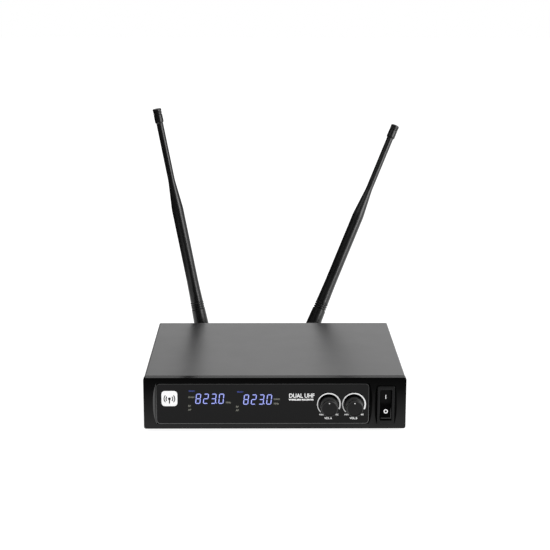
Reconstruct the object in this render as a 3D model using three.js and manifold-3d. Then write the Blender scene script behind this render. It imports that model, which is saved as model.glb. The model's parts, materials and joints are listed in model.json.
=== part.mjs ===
// A half-rack wireless receiver with two volume knobs, a rocker power switch and two whip antennas.
// Millimetres. +Z is up, the front faces -Y, and the origin is on the chassis underside, midway between the feet.

import * as THREE from "three";
import { mergeVertices } from "three/addons/utils/BufferGeometryUtils.js";
import Module from "manifold-3d";

const wasm = await Module();
wasm.setup();

// ---------------------------------------------------------------- driving dimensions

const GAP = 0.3;
const SHEET = 1.2;

const CASE = { width: 211, top: 43, front: -76.4, back: 87.8, foot: 1, bend: 1.5 };
const FASCIA = { width: 212, height: 43, front: -83, back: -76.7, corner: 2 };
const TRAY = { halfWidth: 104, front: -76.3, back: 87.3, height: 41.4, flange: 30 };
const VENTS = { count: 8, first: -18, pitch: 7, width: 2.2, z: [32.5, 38.5] };

const WINDOW = { left: -95.7, right: 75.9, bottom: 4.4, top: 38, corner: 3.5, thickness: 2.2, proud: 0.2 };
const WINDOW_RECESS = { depth: 2.6, bulge: 2.7 };
const DISPLAY_OPENING = { x: [-73, 5.5], z: [12.8, 34.2] };
const DISPLAY = { centres: { a: -53, b: -14.5 }, height: 23.5, width: 36.5, tall: 20, front: -80.3, depth: 6 };
const FRONT_BOARD = { x: [-99, 28], z: [4, 39], front: -74, thickness: 1.6 };

const KNOB = { centres: { a: 43.55, b: 63.85 }, height: 20.7, radius: 7.1, front: -94.8, back: -83.6 };
const KNOB_OPENING = 6.4;
const POT = { canRadius: 8.2, canDepth: 8.5, bushRadius: 3.5, boreRadius: 3.2, bushFront: -79.6 };
const SHAFT = { radius: 3, front: -92.6, back: -68.5 };

const SWITCH = {
  x: 89.6,
  z: 20.3,
  bezel: [14, 31.6],
  body: [11.8, 28],
  cavity: [9.4, 25.4],
  front: -84.4,
  back: -64.5,
  recess: 1,
  bulge: 1.8,
};
const ROCKER = { width: 8.8, halfHeight: 12.1, pivotY: -79.2, tilt: 10 };

const SOCKET_HEIGHT = 21.5;
const XLR = { centres: { a: -33.5, b: 2 }, flange: [26, 31], boreRadius: 9.3, bodyRadius: 11.6 };
const JACK = { x: 62, z: 24, boreRadius: 3.25, bushRadius: 4.6, nutRadius: 7 };
const DC_INLET = { x: 87, z: 17.4, hole: 4.4, boreRadius: 3.1, pinRadius: 1 };
const BAYONET = { barrelRadius: 4.8, boreRadius: 4.1, length: 13, lugRadius: 0.95, lugPlace: 10, nutRadius: 8.1 };

const ANTENNA_HEIGHT = 24;
const ANTENNAS = [
  { letter: "a", x: -65.9, lean: -10.77, fold: 0 },
  { letter: "b", x: 33.9, lean: 23.66, fold: 16 },
];
const PIVOT_Y = 115.8;
// Inside the antenna's own frame the elbow's pin is the origin, +Z the whip, and this is the receiver's rear.
const PANEL = TRAY.back - PIVOT_Y;
const CHEEK = { radius: 6.8, halfWidth: 6.6 };
const BOOT_RADIUS = 6.9;
const TONGUE = { halfWidth: 2.6, radius: 6.4 };
const PIN_RADIUS = 1.4;
const SLEEVE = { radius: 6.8, straight: 12, neck: 6.3, socket: 3.3, socketDepth: 14 };
const GROOVES = { bottom: 26.3, top: 32.7, count: 3, inner: 5.6, outer: 6.1 };
const WHIP = { bottom: 33, collar: 54, taperStart: 123.7, taperEnd: 151.2, top: 204.5 };
const WHIP_RADIUS = { bottom: 5.85, body: 5.4, tip: 3.15, root: 3, pin: 1.7 };
const TIP = { bottom: 204.8, top: 218.2, radius: 4, groove: 3.65 };

const FEET = { radius: 6.5, top: 0.35, bottom: -2.5, x: 88, y: 64, seat: 0.4 };
const SCREW_PLACES = { y: [-56, 62], z: 21.5, headRadius: 2.9, holeRadius: 1.8, seat: 0.4 };

const MAIN_BOARD = { x: [-96, 96], y: [-58, 81], z: [7.3, 8.9] };
const PILLARS = { x: [-84, 84], y: [-46, 70], radius: 3 };
const SHIELD = { centres: { a: -56, b: 14 }, halfWidth: 22, y: [2, 44], z: [9.2, 20], wall: 0.6 };
const LEAD_RADIUS = 1.3;

const DEGREE = Math.PI / 180;
const ROUND = 20;

// ---------------------------------------------------------------- materials

function material(colour, roughness, metalness) {
  return new THREE.MeshStandardMaterial({ color: colour, roughness, metalness });
}

const blackPaint = () => material(0x1d1d1f, 0.45, 0.2);
const bareSteel = () => material(0x8d9094, 0.4, 0.9);
const brushedBlack = () => material(0x18181a, 0.4, 0.6);
const smokedAcrylic = () => material(0x050506, 0.05, 0);
const blackPlastic = () => material(0x0e0e0f, 0.5, 0);
const nickel = () => material(0xb9b7b0, 0.25, 1);
const brass = () => material(0xc9a24a, 0.3, 1);
const rubber = () => material(0x161616, 0.85, 0);
const circuitBoard = () => material(0x14401f, 0.6, 0);
const tinPlate = () => material(0xa5a8aa, 0.35, 0.9);
const leadJacket = () => material(0x202022, 0.6, 0);
const greyRibbon = () => material(0x8a8c8e, 0.7, 0);

// ---------------------------------------------------------------- shapes

function block([x0, x1], [y0, y1], [z0, z1]) {
  const geometry = new THREE.BoxGeometry(x1 - x0, y1 - y0, z1 - z0);
  return geometry.translate((x0 + x1) / 2, (y0 + y1) / 2, (z0 + z1) / 2);
}

// A rod along Y from y0 to y1.
function rodY(x, z, radius, y0, y1, sides = ROUND) {
  const geometry = new THREE.CylinderGeometry(radius, radius, y1 - y0, sides);
  return geometry.translate(x, (y0 + y1) / 2, z);
}

// A rod along X from x0 to x1.
function rodX(y, z, radius, x0, x1, sides = ROUND) {
  const geometry = new THREE.CylinderGeometry(radius, radius, x1 - x0, sides);
  return geometry.rotateZ(Math.PI / 2).translate((x0 + x1) / 2, y, z);
}

// A rod along Z from z0 to z1.
function rodZ(x, y, radius, z0, z1, sides = ROUND) {
  const geometry = new THREE.CylinderGeometry(radius, radius, z1 - z0, sides);
  return geometry.rotateX(Math.PI / 2).translate(x, y, (z0 + z1) / 2);
}

// A shape drawn in X and Z, made solid from y0 to y1.
function plate(shape, y0, y1, curveSegments = 6) {
  const geometry = new THREE.ExtrudeGeometry(shape, { depth: y1 - y0, bevelEnabled: false, curveSegments });
  return geometry.rotateX(Math.PI / 2).translate(0, y1, 0);
}

// A [radius, height] profile, in the order that makes its turned faces point outwards.
function profilePoints(profile) {
  const points = profile.map(([radius, height]) => new THREE.Vector2(radius, height));
  return THREE.ShapeUtils.area(points) < 0 ? points.reverse() : points;
}

// A profile turned about the Z axis.
function turnedZ(profile, sides = ROUND) {
  return new THREE.LatheGeometry(profilePoints(profile), sides).rotateX(Math.PI / 2);
}

// A profile turned about a line along Y.
function turnedY(profile, sides = ROUND) {
  return new THREE.LatheGeometry(profilePoints(profile), sides);
}

function roundedRectangle([x0, x1], [z0, z1], radius) {
  const shape = new THREE.Shape();
  shape.absarc(x1 - radius, z1 - radius, radius, 0, Math.PI / 2);
  shape.absarc(x0 + radius, z1 - radius, radius, Math.PI / 2, Math.PI);
  shape.absarc(x0 + radius, z0 + radius, radius, Math.PI, 1.5 * Math.PI);
  shape.absarc(x1 - radius, z0 + radius, radius, 1.5 * Math.PI, 2 * Math.PI);
  return shape;
}

// A rectangle whose left and right sides bulge outwards as arcs.
function bulgedRectangle([x0, x1], [z0, z1], bulge) {
  const half = (z1 - z0) / 2;
  const middle = (z0 + z1) / 2;
  const radius = (half * half + bulge * bulge) / (2 * bulge);
  const sweep = Math.asin(half / radius);
  const shape = new THREE.Shape();
  shape.absarc(x1 + bulge - radius, middle, radius, -sweep, sweep);
  shape.absarc(x0 - bulge + radius, middle, radius, Math.PI - sweep, Math.PI + sweep);
  return shape;
}

function regularPolygon(x, z, radius, sides) {
  const shape = new THREE.Shape();
  for (let i = 0; i < sides; i++) {
    const angle = (2 * Math.PI * i) / sides;
    shape.lineTo(x + radius * Math.cos(angle), z + radius * Math.sin(angle));
  }
  return shape;
}

// ---------------------------------------------------------------- joining and cutting

function toSolid(geometry) {
  const bare = geometry.clone();
  bare.deleteAttribute("normal");
  bare.deleteAttribute("uv");
  const merged = mergeVertices(bare, 1e-4);
  const mesh = new wasm.Mesh({
    numProp: 3,
    vertProperties: merged.attributes.position.array,
    triVerts: new Uint32Array(merged.index.array),
  });
  return new wasm.Manifold(mesh);
}

function fromSolid(made) {
  const mesh = made.getMesh();
  const geometry = new THREE.BufferGeometry();
  geometry.setAttribute("position", new THREE.BufferAttribute(mesh.vertProperties, 3));
  geometry.setIndex(new THREE.BufferAttribute(mesh.triVerts, 1));
  geometry.computeVertexNormals();
  return geometry;
}

// The pieces joined together, less the cuts.
function shaped(pieces, cuts = []) {
  const joined = pieces.map(toSolid).reduce((whole, next) => whole.add(next));
  return fromSolid(cuts.map(toSolid).reduce((whole, next) => whole.subtract(next), joined));
}

const receiver = new THREE.Group();

function addPart(name, geometry, finish, parent = receiver) {
  const mesh = new THREE.Mesh(geometry, finish);
  mesh.name = name;
  parent.add(mesh);
  return mesh;
}

// A span of the given size about a middle.
function span(middle, size) {
  return [middle - size / 2, middle + size / 2];
}

// ---------------------------------------------------------------- case

function chassisTray() {
  const { halfWidth, front, back, height, flange } = TRAY;
  const across = [-halfWidth, halfWidth];
  const along = [front, back];
  const walls = [
    block(across, along, [0, SHEET]),
    block(across, [back - SHEET, back], [0, height]),
    block(across, [front, front + SHEET], [0, height]),
    block([-halfWidth, -halfWidth + SHEET], along, [0, flange]),
    block([halfWidth - SHEET, halfWidth], along, [0, flange]),
  ];
  const pillars = [];
  for (const x of PILLARS.x) {
    for (const y of PILLARS.y) {
      pillars.push(rodZ(x, y, PILLARS.radius, SHEET / 2, MAIN_BOARD.z[0] - GAP, 12));
    }
  }
  return shaped([...walls, ...pillars], [...frontWallCuts(), ...rearWallCuts(), ...footSeats(), ...screwHoles()]);
}

// Shallow round seats that locate the feet under the tray.
function footSeats() {
  const seats = [];
  for (const x of [-FEET.x, FEET.x]) {
    for (const y of [-FEET.y, FEET.y]) {
      seats.push(rodZ(x, y, FEET.radius + GAP, -1, FEET.seat));
    }
  }
  return seats;
}

function frontWallCuts() {
  const wall = [TRAY.front - 1, TRAY.front + SHEET + 1];
  const cuts = [block(DISPLAY_OPENING.x, wall, DISPLAY_OPENING.z)];
  for (const x of Object.values(KNOB.centres)) {
    cuts.push(rodY(x, KNOB.height, POT.bushRadius + GAP, ...wall));
  }
  const [bodyWidth, bodyHeight] = SWITCH.body;
  cuts.push(block(span(SWITCH.x, bodyWidth + 2 * GAP), wall, span(SWITCH.z, bodyHeight + 2 * GAP)));
  return cuts;
}

function rearWallCuts() {
  const wall = [TRAY.back - SHEET - 1, TRAY.back + 1];
  const cuts = [];
  for (const { x } of ANTENNAS) {
    cuts.push(rodY(x, ANTENNA_HEIGHT, BAYONET.barrelRadius + GAP, ...wall));
  }
  for (const x of Object.values(XLR.centres)) {
    cuts.push(rodY(x, SOCKET_HEIGHT, XLR.bodyRadius + GAP, ...wall));
  }
  cuts.push(rodY(JACK.x, JACK.z, JACK.bushRadius + GAP, ...wall));
  cuts.push(rodY(DC_INLET.x, DC_INLET.z, DC_INLET.hole, ...wall));
  return cuts;
}

// Clearance holes for the side screws, through the cover and the tray's flanges.
function screwHoles() {
  return sideBores(SCREW_PLACES.holeRadius, CASE.width / 2 - 10, CASE.width / 2 + 5);
}

// Shallow seats in the cover under the screws' heads.
function screwSeats() {
  return sideBores(SCREW_PLACES.headRadius + 0.5, CASE.width / 2 - SCREW_PLACES.seat, CASE.width / 2 + 5);
}

// A bore at each side screw, from x0 to x1 and mirrored.
function sideBores(radius, x0, x1) {
  const bores = [];
  for (const y of SCREW_PLACES.y) {
    bores.push(rodX(y, SCREW_PLACES.z, radius, x0, x1, 12));
    bores.push(rodX(y, SCREW_PLACES.z, radius, -x1, -x0, 12));
  }
  return bores;
}

function topCover() {
  const half = CASE.width / 2;
  const outline = new THREE.Shape();
  outline.moveTo(half, CASE.foot);
  outline.lineTo(half, CASE.top - CASE.bend);
  outline.absarc(half - CASE.bend, CASE.top - CASE.bend, CASE.bend, 0, Math.PI / 2);
  outline.absarc(-half + CASE.bend, CASE.top - CASE.bend, CASE.bend, Math.PI / 2, Math.PI);
  outline.lineTo(-half, CASE.foot);
  outline.lineTo(-half + SHEET, CASE.foot);
  outline.lineTo(-half + SHEET, CASE.top - SHEET);
  outline.lineTo(half - SHEET, CASE.top - SHEET);
  outline.lineTo(half - SHEET, CASE.foot);
  return shaped([plate(outline, CASE.front, CASE.back, 3)], [...screwHoles(), ...screwSeats(), ...ventSlots()]);
}

// Upright slots in both sides, over the tuners and the regulator.
function ventSlots() {
  const slots = [];
  for (let i = 0; i < VENTS.count; i++) {
    const y = VENTS.first + VENTS.pitch * i;
    for (const side of [-1, 1]) {
      slots.push(block(span((side * CASE.width) / 2, 6), [y, y + VENTS.width], VENTS.z));
    }
  }
  return slots;
}

function frontPanel() {
  const { width, height, front, back, corner } = FASCIA;
  const body = plate(roundedRectangle([-width / 2, width / 2], [0, height], corner), front, back, 4);
  const windowRecess = bulgedRectangle(
    [WINDOW.left - GAP, WINDOW.right + GAP],
    [WINDOW.bottom - GAP, WINDOW.top + GAP],
    WINDOW_RECESS.bulge,
  );
  const switchRecess = bulgedRectangle(
    span(SWITCH.x, SWITCH.bezel[0] + 2 * GAP),
    span(SWITCH.z, SWITCH.bezel[1] + 2 * GAP),
    SWITCH.bulge,
  );
  const through = [front - 1, back + 1];
  const cuts = [
    plate(windowRecess, front - 1, front + WINDOW_RECESS.depth, 8),
    plate(switchRecess, front - 1, front + SWITCH.recess, 8),
    block(DISPLAY_OPENING.x, through, DISPLAY_OPENING.z),
    block(span(SWITCH.x, SWITCH.body[0] + 2 * GAP), through, span(SWITCH.z, SWITCH.body[1] + 2 * GAP)),
  ];
  for (const x of Object.values(KNOB.centres)) {
    cuts.push(rodY(x, KNOB.height, KNOB_OPENING, ...through));
  }
  return shaped([body], cuts);
}

function displayWindow() {
  const front = FASCIA.front - WINDOW.proud;
  const outline = roundedRectangle([WINDOW.left, WINDOW.right], [WINDOW.bottom, WINDOW.top], WINDOW.corner);
  const holes = Object.values(KNOB.centres).map((x) =>
    rodY(x, KNOB.height, SHAFT.radius + 1, front - 1, front + WINDOW.thickness + 1),
  );
  return shaped([plate(outline, front, front + WINDOW.thickness, 6)], holes);
}

// A pan-head screw, its head's underside at x = 0 and its shank running towards -X.
function coverScrew() {
  const { headRadius } = SCREW_PLACES;
  const profile = [
    [0, -5.5],
    [1.45, -5.5],
    [1.45, 0],
    [headRadius, 0],
    [headRadius, 0.8],
    [headRadius - 0.7, 1.5],
    [0, 1.7],
  ];
  return turnedZ(profile, 12).rotateY(Math.PI / 2);
}

function foot() {
  const { radius, top, bottom } = FEET;
  const profile = [
    [0, bottom],
    [radius - 1, bottom],
    [radius, bottom + 1],
    [radius, top],
    [0, top],
  ];
  return turnedZ(profile);
}

// ---------------------------------------------------------------- front controls and display

function switchHousing() {
  const { x, z, bezel, body, cavity, front, back, recess } = SWITCH;
  const seat = FASCIA.front + recess;
  const flange = roundedRectangle(span(x, bezel[0]), span(z, bezel[1]), 1.4);
  const pieces = [
    plate(flange, front, seat - 0.05, 3),
    block(span(x, body[0]), [seat - 1, back], span(z, body[1])),
  ];
  for (const offset of [-9, 0, 9]) {
    pieces.push(block(span(x, 4.8), [back - 1, back + 8], span(z + offset, 0.8)));
  }
  return shaped(pieces, [block(span(x, cavity[0]), [front - 1, back - 3], span(z, cavity[1]))]);
}

// The rocker about its own pivot, level: its front is a shallow V with raised ends.
function rocker() {
  const { width, halfHeight } = ROCKER;
  const side = new THREE.Shape();
  side.moveTo(-2.2, halfHeight);
  side.lineTo(4.6, halfHeight);
  side.lineTo(2.9, 0);
  side.lineTo(4.6, -halfHeight);
  side.lineTo(-2.2, -halfHeight);
  side.lineTo(-6, -3);
  side.lineTo(-6, 3);
  const geometry = new THREE.ExtrudeGeometry(side, { depth: width, bevelEnabled: false });
  const forward = new THREE.Vector3(0, -1, 0);
  const up = new THREE.Vector3(0, 0, 1);
  const left = new THREE.Vector3(-1, 0, 0);
  return geometry.translate(0, 0, -width / 2).applyMatrix4(new THREE.Matrix4().makeBasis(forward, up, left));
}

// Knob body with a slight taper and a blind bore for its shaft.
function knob() {
  const { radius, front, back } = KNOB;
  const profile = [
    [SHAFT.radius + GAP, back],
    [radius, back],
    [radius, back - 1.5],
    [radius - 0.35, front + 1],
    [radius - 1, front + 0.3],
    [radius - 1.9, front],
    [0, front],
    [0, SHAFT.front - GAP],
    [SHAFT.radius + GAP, SHAFT.front - GAP],
    [SHAFT.radius + GAP, back],
  ];
  return turnedY(profile, 24);
}

function potentiometer() {
  const { canRadius, canDepth, bushRadius, boreRadius, bushFront } = POT;
  const canFront = TRAY.front + SHEET + 0.1;
  const canBack = canFront + canDepth;
  const boreEnd = SHAFT.back + GAP;
  const can = turnedY([
    [0, boreEnd],
    [boreRadius, boreEnd],
    [boreRadius, bushFront],
    [bushRadius, bushFront],
    [bushRadius, canFront],
    [canRadius, canFront],
    [canRadius, canBack],
    [0, canBack],
  ]);
  const tags = [-5, 0, 5].map((x) => block(span(x, 1.2), [canFront + 2, canFront + 2.6], [-13, -6]));
  return shaped([can, ...tags]);
}

function potentiometerNut() {
  const y0 = TRAY.front - 2.3;
  const ring = plate(regularPolygon(0, 0, 5.7, 6), y0, y0 + 2);
  return shaped([ring], [rodY(0, 0, POT.bushRadius + 0.2, y0 - 1, y0 + 3)]);
}

function displayModule(centre) {
  const { height, width, tall, front, depth } = DISPLAY;
  const body = block(span(centre, width), [front, front + depth], span(height, tall));
  const step = block(span(centre, width - 2), [front - 0.2, front + 1], span(height, tall - 2));
  return shaped([body, step]);
}

function frontBoard() {
  const { x, z, front, thickness } = FRONT_BOARD;
  const board = block(x, [front, front + thickness], z);
  const chips = [-70, -30].map((left) =>
    block([left, left + 12], [front + thickness - 0.2, front + thickness + 1.6], [20, 28]),
  );
  return shaped([board, ...chips]);
}

// ---------------------------------------------------------------- rear sockets

// Bayonet socket: threaded body through the rear panel, barrel with two lugs, and a deep bore.
function antennaSocket() {
  const { barrelRadius, boreRadius, length, lugRadius, lugPlace } = BAYONET;
  const outside = TRAY.back;
  const inside = TRAY.back - SHEET;
  const profile = [
    [0, outside + 1],
    [boreRadius, outside + 1],
    [boreRadius, outside + length],
    [barrelRadius, outside + length],
    [barrelRadius, inside - 0.1],
    [7, inside - 0.1],
    [7, inside - 2],
    [4.5, inside - 2],
    [4.5, inside - 8],
    [0, inside - 8],
  ];
  const lugs = rodX(outside + lugPlace, 0, lugRadius, -5.7, 5.7, 10);
  const bore = rodY(0, 0, boreRadius, outside + 1, outside + length + 1);
  return shaped([turnedY(profile), lugs], [bore]);
}

function antennaSocketNut() {
  const y0 = TRAY.back + 0.1;
  const nut = plate(regularPolygon(0, 0, BAYONET.nutRadius, 6), y0, y0 + 2.4);
  return shaped([nut], [rodY(0, 0, BAYONET.barrelRadius + GAP, y0 - 1, y0 + 4)]);
}

// Three-pin output: square flange, round body behind it, open cavity towards the back.
function xlrSocket(x) {
  const { flange, boreRadius, bodyRadius } = XLR;
  const face = TRAY.back + 2.2;
  const pieces = [
    plate(roundedRectangle(span(x, flange[0]), span(SOCKET_HEIGHT, flange[1]), 3), TRAY.back + 0.1, face, 4),
    rodY(x, SOCKET_HEIGHT, bodyRadius, TRAY.back - 17, TRAY.back + 1),
  ];
  const cavity = rodY(x, SOCKET_HEIGHT, boreRadius, TRAY.back - 13, face + 1);
  const keyway = block(span(x, 3), [TRAY.back - 8, face + 1], [SOCKET_HEIGHT + 8, SOCKET_HEIGHT + 10.4]);
  return shaped(pieces, [cavity, keyway]);
}

function xlrContacts(x) {
  const floor = TRAY.back - 13 + GAP;
  const z = SOCKET_HEIGHT;
  const pins = [
    [-3.8, 1.6],
    [3.8, 1.6],
    [0, -3.7],
  ];
  const pieces = [rodY(x, z, XLR.boreRadius - GAP, floor, floor + 2.5)];
  for (const [dx, dz] of pins) {
    pieces.push(rodY(x + dx, z + dz, 1.2, floor + 1, TRAY.back + 0.4, 10));
  }
  return shaped(pieces);
}

function jackSocket() {
  const { x, z, boreRadius, bushRadius } = JACK;
  const inside = TRAY.back - SHEET - 0.1;
  const pieces = [
    block(span(x, 17), [inside - 24, inside], [10, z + 8]),
    rodY(x, z, bushRadius, inside - 1, TRAY.back + 4.2),
  ];
  return shaped(pieces, [rodY(x, z, boreRadius, inside - 22, TRAY.back + 5)]);
}

function jackNut() {
  const { x, z, nutRadius, bushRadius } = JACK;
  const y0 = TRAY.back + 0.1;
  return shaped([rodY(x, z, nutRadius, y0, y0 + 2.6)], [rodY(x, z, bushRadius + 0.2, y0 - 1, y0 + 4)]);
}

function dcInlet() {
  const { x, z, hole, boreRadius, pinRadius } = DC_INLET;
  const inside = TRAY.back - SHEET - 0.1;
  const body = [
    block(span(x, 10.5), [inside - 12, inside], [9.6, z + 5.6]),
    rodY(x, z, hole - GAP, inside - 1, TRAY.back + 0.6),
  ];
  const socket = shaped(body, [rodY(x, z, boreRadius, inside - 10, TRAY.back + 2)]);
  return shaped([socket, rodY(x, z, pinRadius, inside - 11, TRAY.back - 0.4, 10)]);
}

// ---------------------------------------------------------------- inside

function mainBoard() {
  const { x, y, z } = MAIN_BOARD;
  const board = block(x, y, z);
  const header = block([-50, -20], [-52, -47], [z[1] - 0.1, 15]);
  return shaped([board, header]);
}

// A tin can over a tuner, open below.
function tunerShield(x) {
  const { halfWidth, y, z, wall } = SHIELD;
  const outer = block(span(x, 2 * halfWidth), y, z);
  const hollow = block(span(x, 2 * (halfWidth - wall)), [y[0] + wall, y[1] - wall], [z[0] - 1, z[1] - wall]);
  return shaped([outer], [hollow]);
}

function regulatorHeatsink() {
  const base = block([78, 81], [0, 34], [9.2, 33]);
  const fins = [];
  for (let i = 0; i < 5; i++) {
    fins.push(block([80.5, 90], [1 + 8 * i - 0.6, 1 + 8 * i + 0.6], [9.2, 33]));
  }
  return shaped([base, ...fins]);
}

function filterCapacitor() {
  const profile = [
    [0, 9.2],
    [6.4, 9.2],
    [6.4, 11],
    [6, 11.6],
    [6.4, 12.2],
    [6.4, 30.4],
    [5.6, 31],
    [0, 31],
  ];
  return turnedZ(profile, 16).translate(62, 20, 0);
}

// A solid swept along a smooth curve through the given points.
function swept(section, points, steps) {
  const path = new THREE.CatmullRomCurve3(points.map(([x, y, z]) => new THREE.Vector3(x, y, z)));
  return new THREE.ExtrudeGeometry(section, { steps, extrudePath: path, bevelEnabled: false });
}

function ribbonCable() {
  const section = new THREE.Shape();
  section.moveTo(-10, -0.5);
  section.lineTo(10, -0.5);
  section.lineTo(10, 0.5);
  section.lineTo(-10, 0.5);
  const route = [
    [-35, -72, 12],
    [-35, -66, 13],
    [-35, -57, 22],
    [-35, -50, 22],
    [-35, -49.5, 15.6],
  ];
  return swept(section, route, 12);
}

function antennaLead(x, shieldX) {
  const route = [
    [x, TRAY.back - 9.6, ANTENNA_HEIGHT],
    [x, TRAY.back - 16, ANTENNA_HEIGHT],
    [(x + shieldX) / 2, 60, 26],
    [shieldX, 50, 24],
    [shieldX, 40, 22.2],
  ];
  return swept(regularPolygon(0, 0, LEAD_RADIUS, 6), route, 8);
}

function switchLead() {
  const route = [
    [SWITCH.x, SWITCH.back + 8.4, SWITCH.z],
    [SWITCH.x, -50, SWITCH.z + 3],
    [SWITCH.x - 1, -30, 14],
    [SWITCH.x - 3, -10, 10.6],
  ];
  return swept(regularPolygon(0, 0, LEAD_RADIUS, 6), route, 7);
}

// ---------------------------------------------------------------- antennas

function couplingCollar() {
  const profile = [
    [6, PANEL + 3.4],
    [6, PANEL + 15],
    [4.7, PANEL + 15],
    [4.7, PANEL + 17.4],
    [6.6, PANEL + 17.4],
    [7.3, PANEL + 16.4],
    [7.3, PANEL + 8],
    [6.9, PANEL + 7.6],
    [6.9, PANEL + 3.4],
    [6, PANEL + 3.4],
  ];
  return turnedY(profile);
}

function plugBody() {
  const profile = [
    [0, PANEL + 12],
    [2.8, PANEL + 12],
    [2.8, PANEL + 2],
    [3.75, PANEL + 2],
    [3.75, PANEL + 13.3],
    [5.6, PANEL + 13.3],
    [5.6, PANEL + 14.7],
    [4.3, PANEL + 14.7],
    [4.3, PANEL + 19],
    [0, PANEL + 19],
  ];
  const contact = rodY(0, 0, 0.7, PANEL + 3, PANEL + 13, 8);
  return shaped([turnedY(profile), contact]);
}

function elbow() {
  const bootEnd = -CHEEK.radius - 0.4;
  const pieces = [
    turnedY([
      [0, PANEL + 17.7],
      [BOOT_RADIUS - 0.3, PANEL + 17.7],
      [BOOT_RADIUS, PANEL + 18.2],
      [BOOT_RADIUS, bootEnd],
      [0, bootEnd],
    ]),
    block(span(0, 2 * TONGUE.halfWidth), [bootEnd - 0.5, 0], span(0, 2 * TONGUE.radius)),
    rodX(0, 0, TONGUE.radius, -TONGUE.halfWidth, TONGUE.halfWidth),
  ];
  const cuts = [
    rodY(0, 0, 4.3 + GAP, PANEL + 17, PANEL + 19.3),
    rodX(0, 0, PIN_RADIUS + 0.2, -10, 10, 16),
  ];
  return shaped(pieces, cuts);
}

function baseSleeve() {
  const { radius, straight, neck, socket, socketDepth } = SLEEVE;
  const ridge = (GROOVES.top - GROOVES.bottom) / GROOVES.count;
  const profile = [
    [0, 0],
    [radius, 0],
    [radius, straight],
    [neck, GROOVES.bottom],
  ];
  for (let i = 0; i < GROOVES.count; i++) {
    const z = GROOVES.bottom + i * ridge;
    profile.push([GROOVES.inner, z + 0.15], [GROOVES.inner, z + 0.75]);
    profile.push([GROOVES.outer, z + 0.9], [GROOVES.outer, z + ridge]);
  }
  profile.push([socket, GROOVES.top + 0.05], [socket, GROOVES.top - socketDepth], [0, GROOVES.top - socketDepth]);
  const pieces = [turnedZ(profile, 16), rodX(0, 0, CHEEK.radius, -CHEEK.halfWidth, CHEEK.halfWidth)];
  const cuts = [
    block(span(0, 2 * (TONGUE.halfWidth + GAP)), [-9, 9], [-9, TONGUE.radius + 0.8]),
    rodX(0, 0, PIN_RADIUS + 0.2, -10, 10, 16),
  ];
  return shaped(pieces, cuts);
}

function hingePin() {
  const half = CHEEK.halfWidth - 0.1;
  return rodX(0, 0, PIN_RADIUS, -half, half, 12);
}

function whip() {
  const { bottom, collar, taperStart, taperEnd, top } = WHIP;
  const { root, body, tip, pin } = WHIP_RADIUS;
  const rootEnd = bottom - SLEEVE.socketDepth + GAP;
  const profile = [
    [0, rootEnd],
    [root, rootEnd],
    [root, bottom],
    [WHIP_RADIUS.bottom, bottom],
    [body, collar],
    [body, taperStart],
    [tip, taperEnd],
    [tip, top],
    [pin, top],
    [pin, top + 8],
    [0, top + 8],
  ];
  return turnedZ(profile, 16);
}

// Hollow cap with two grooves near its top.
function tipCap() {
  const { bottom, top, radius, groove } = TIP;
  const boreRadius = WHIP_RADIUS.pin + GAP;
  const profile = [
    [0, bottom + 8.3],
    [boreRadius, bottom + 8.3],
    [boreRadius, bottom],
    [radius - 0.3, bottom],
    [radius, bottom + 0.5],
  ];
  for (const z of [top - 4.6, top - 2.7]) {
    profile.push([radius, z], [groove, z + 0.2], [groove, z + 0.7], [radius, z + 0.9]);
  }
  profile.push([radius - 0.15, top - 0.4], [radius - 0.8, top], [0, top]);
  return turnedZ(profile, 14);
}

function addAntenna({ letter, x, lean, fold }) {
  const name = (piece) => "antenna_" + letter + "_" + piece;
  const swivel = new THREE.Group();
  swivel.position.set(x, PIVOT_Y, ANTENNA_HEIGHT);
  swivel.rotation.y = lean * DEGREE;
  const mast = new THREE.Group();
  mast.rotation.x = -fold * DEGREE;
  receiver.add(swivel);
  swivel.add(mast);
  const collar = addPart(name("collar"), couplingCollar(), nickel());
  collar.position.copy(swivel.position);
  addPart(name("plug"), plugBody(), nickel(), swivel);
  addPart(name("elbow"), elbow(), blackPlastic(), swivel);
  addPart(name("hinge_pin"), hingePin(), bareSteel(), mast);
  addPart(name("base_sleeve"), baseSleeve(), blackPlastic(), mast);
  addPart(name("whip"), whip(), rubber(), mast);
  addPart(name("tip_cap"), tipCap(), blackPlastic(), mast);
}

// ---------------------------------------------------------------- assembly

function addCase() {
  addPart("chassis_tray", chassisTray(), blackPaint());
  addPart("top_cover", topCover(), blackPaint());
  addPart("front_panel", frontPanel(), brushedBlack());
  addPart("display_window", displayWindow(), smokedAcrylic());
  for (const [side, sign] of [["left", -1], ["right", 1]]) {
    for (const [end, y] of [["front", SCREW_PLACES.y[0]], ["rear", SCREW_PLACES.y[1]]]) {
      const screw = addPart("cover_screw_" + side + "_" + end, coverScrew(), nickel());
      screw.position.set(sign * (CASE.width / 2 - SCREW_PLACES.seat + 0.1), y, SCREW_PLACES.z);
      screw.rotation.z = sign > 0 ? 0 : Math.PI;
    }
    for (const [end, y] of [["front", -FEET.y], ["rear", FEET.y]]) {
      addPart("foot_" + side + "_" + end, foot(), rubber()).position.set(sign * FEET.x, y, 0);
    }
  }
}

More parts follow.
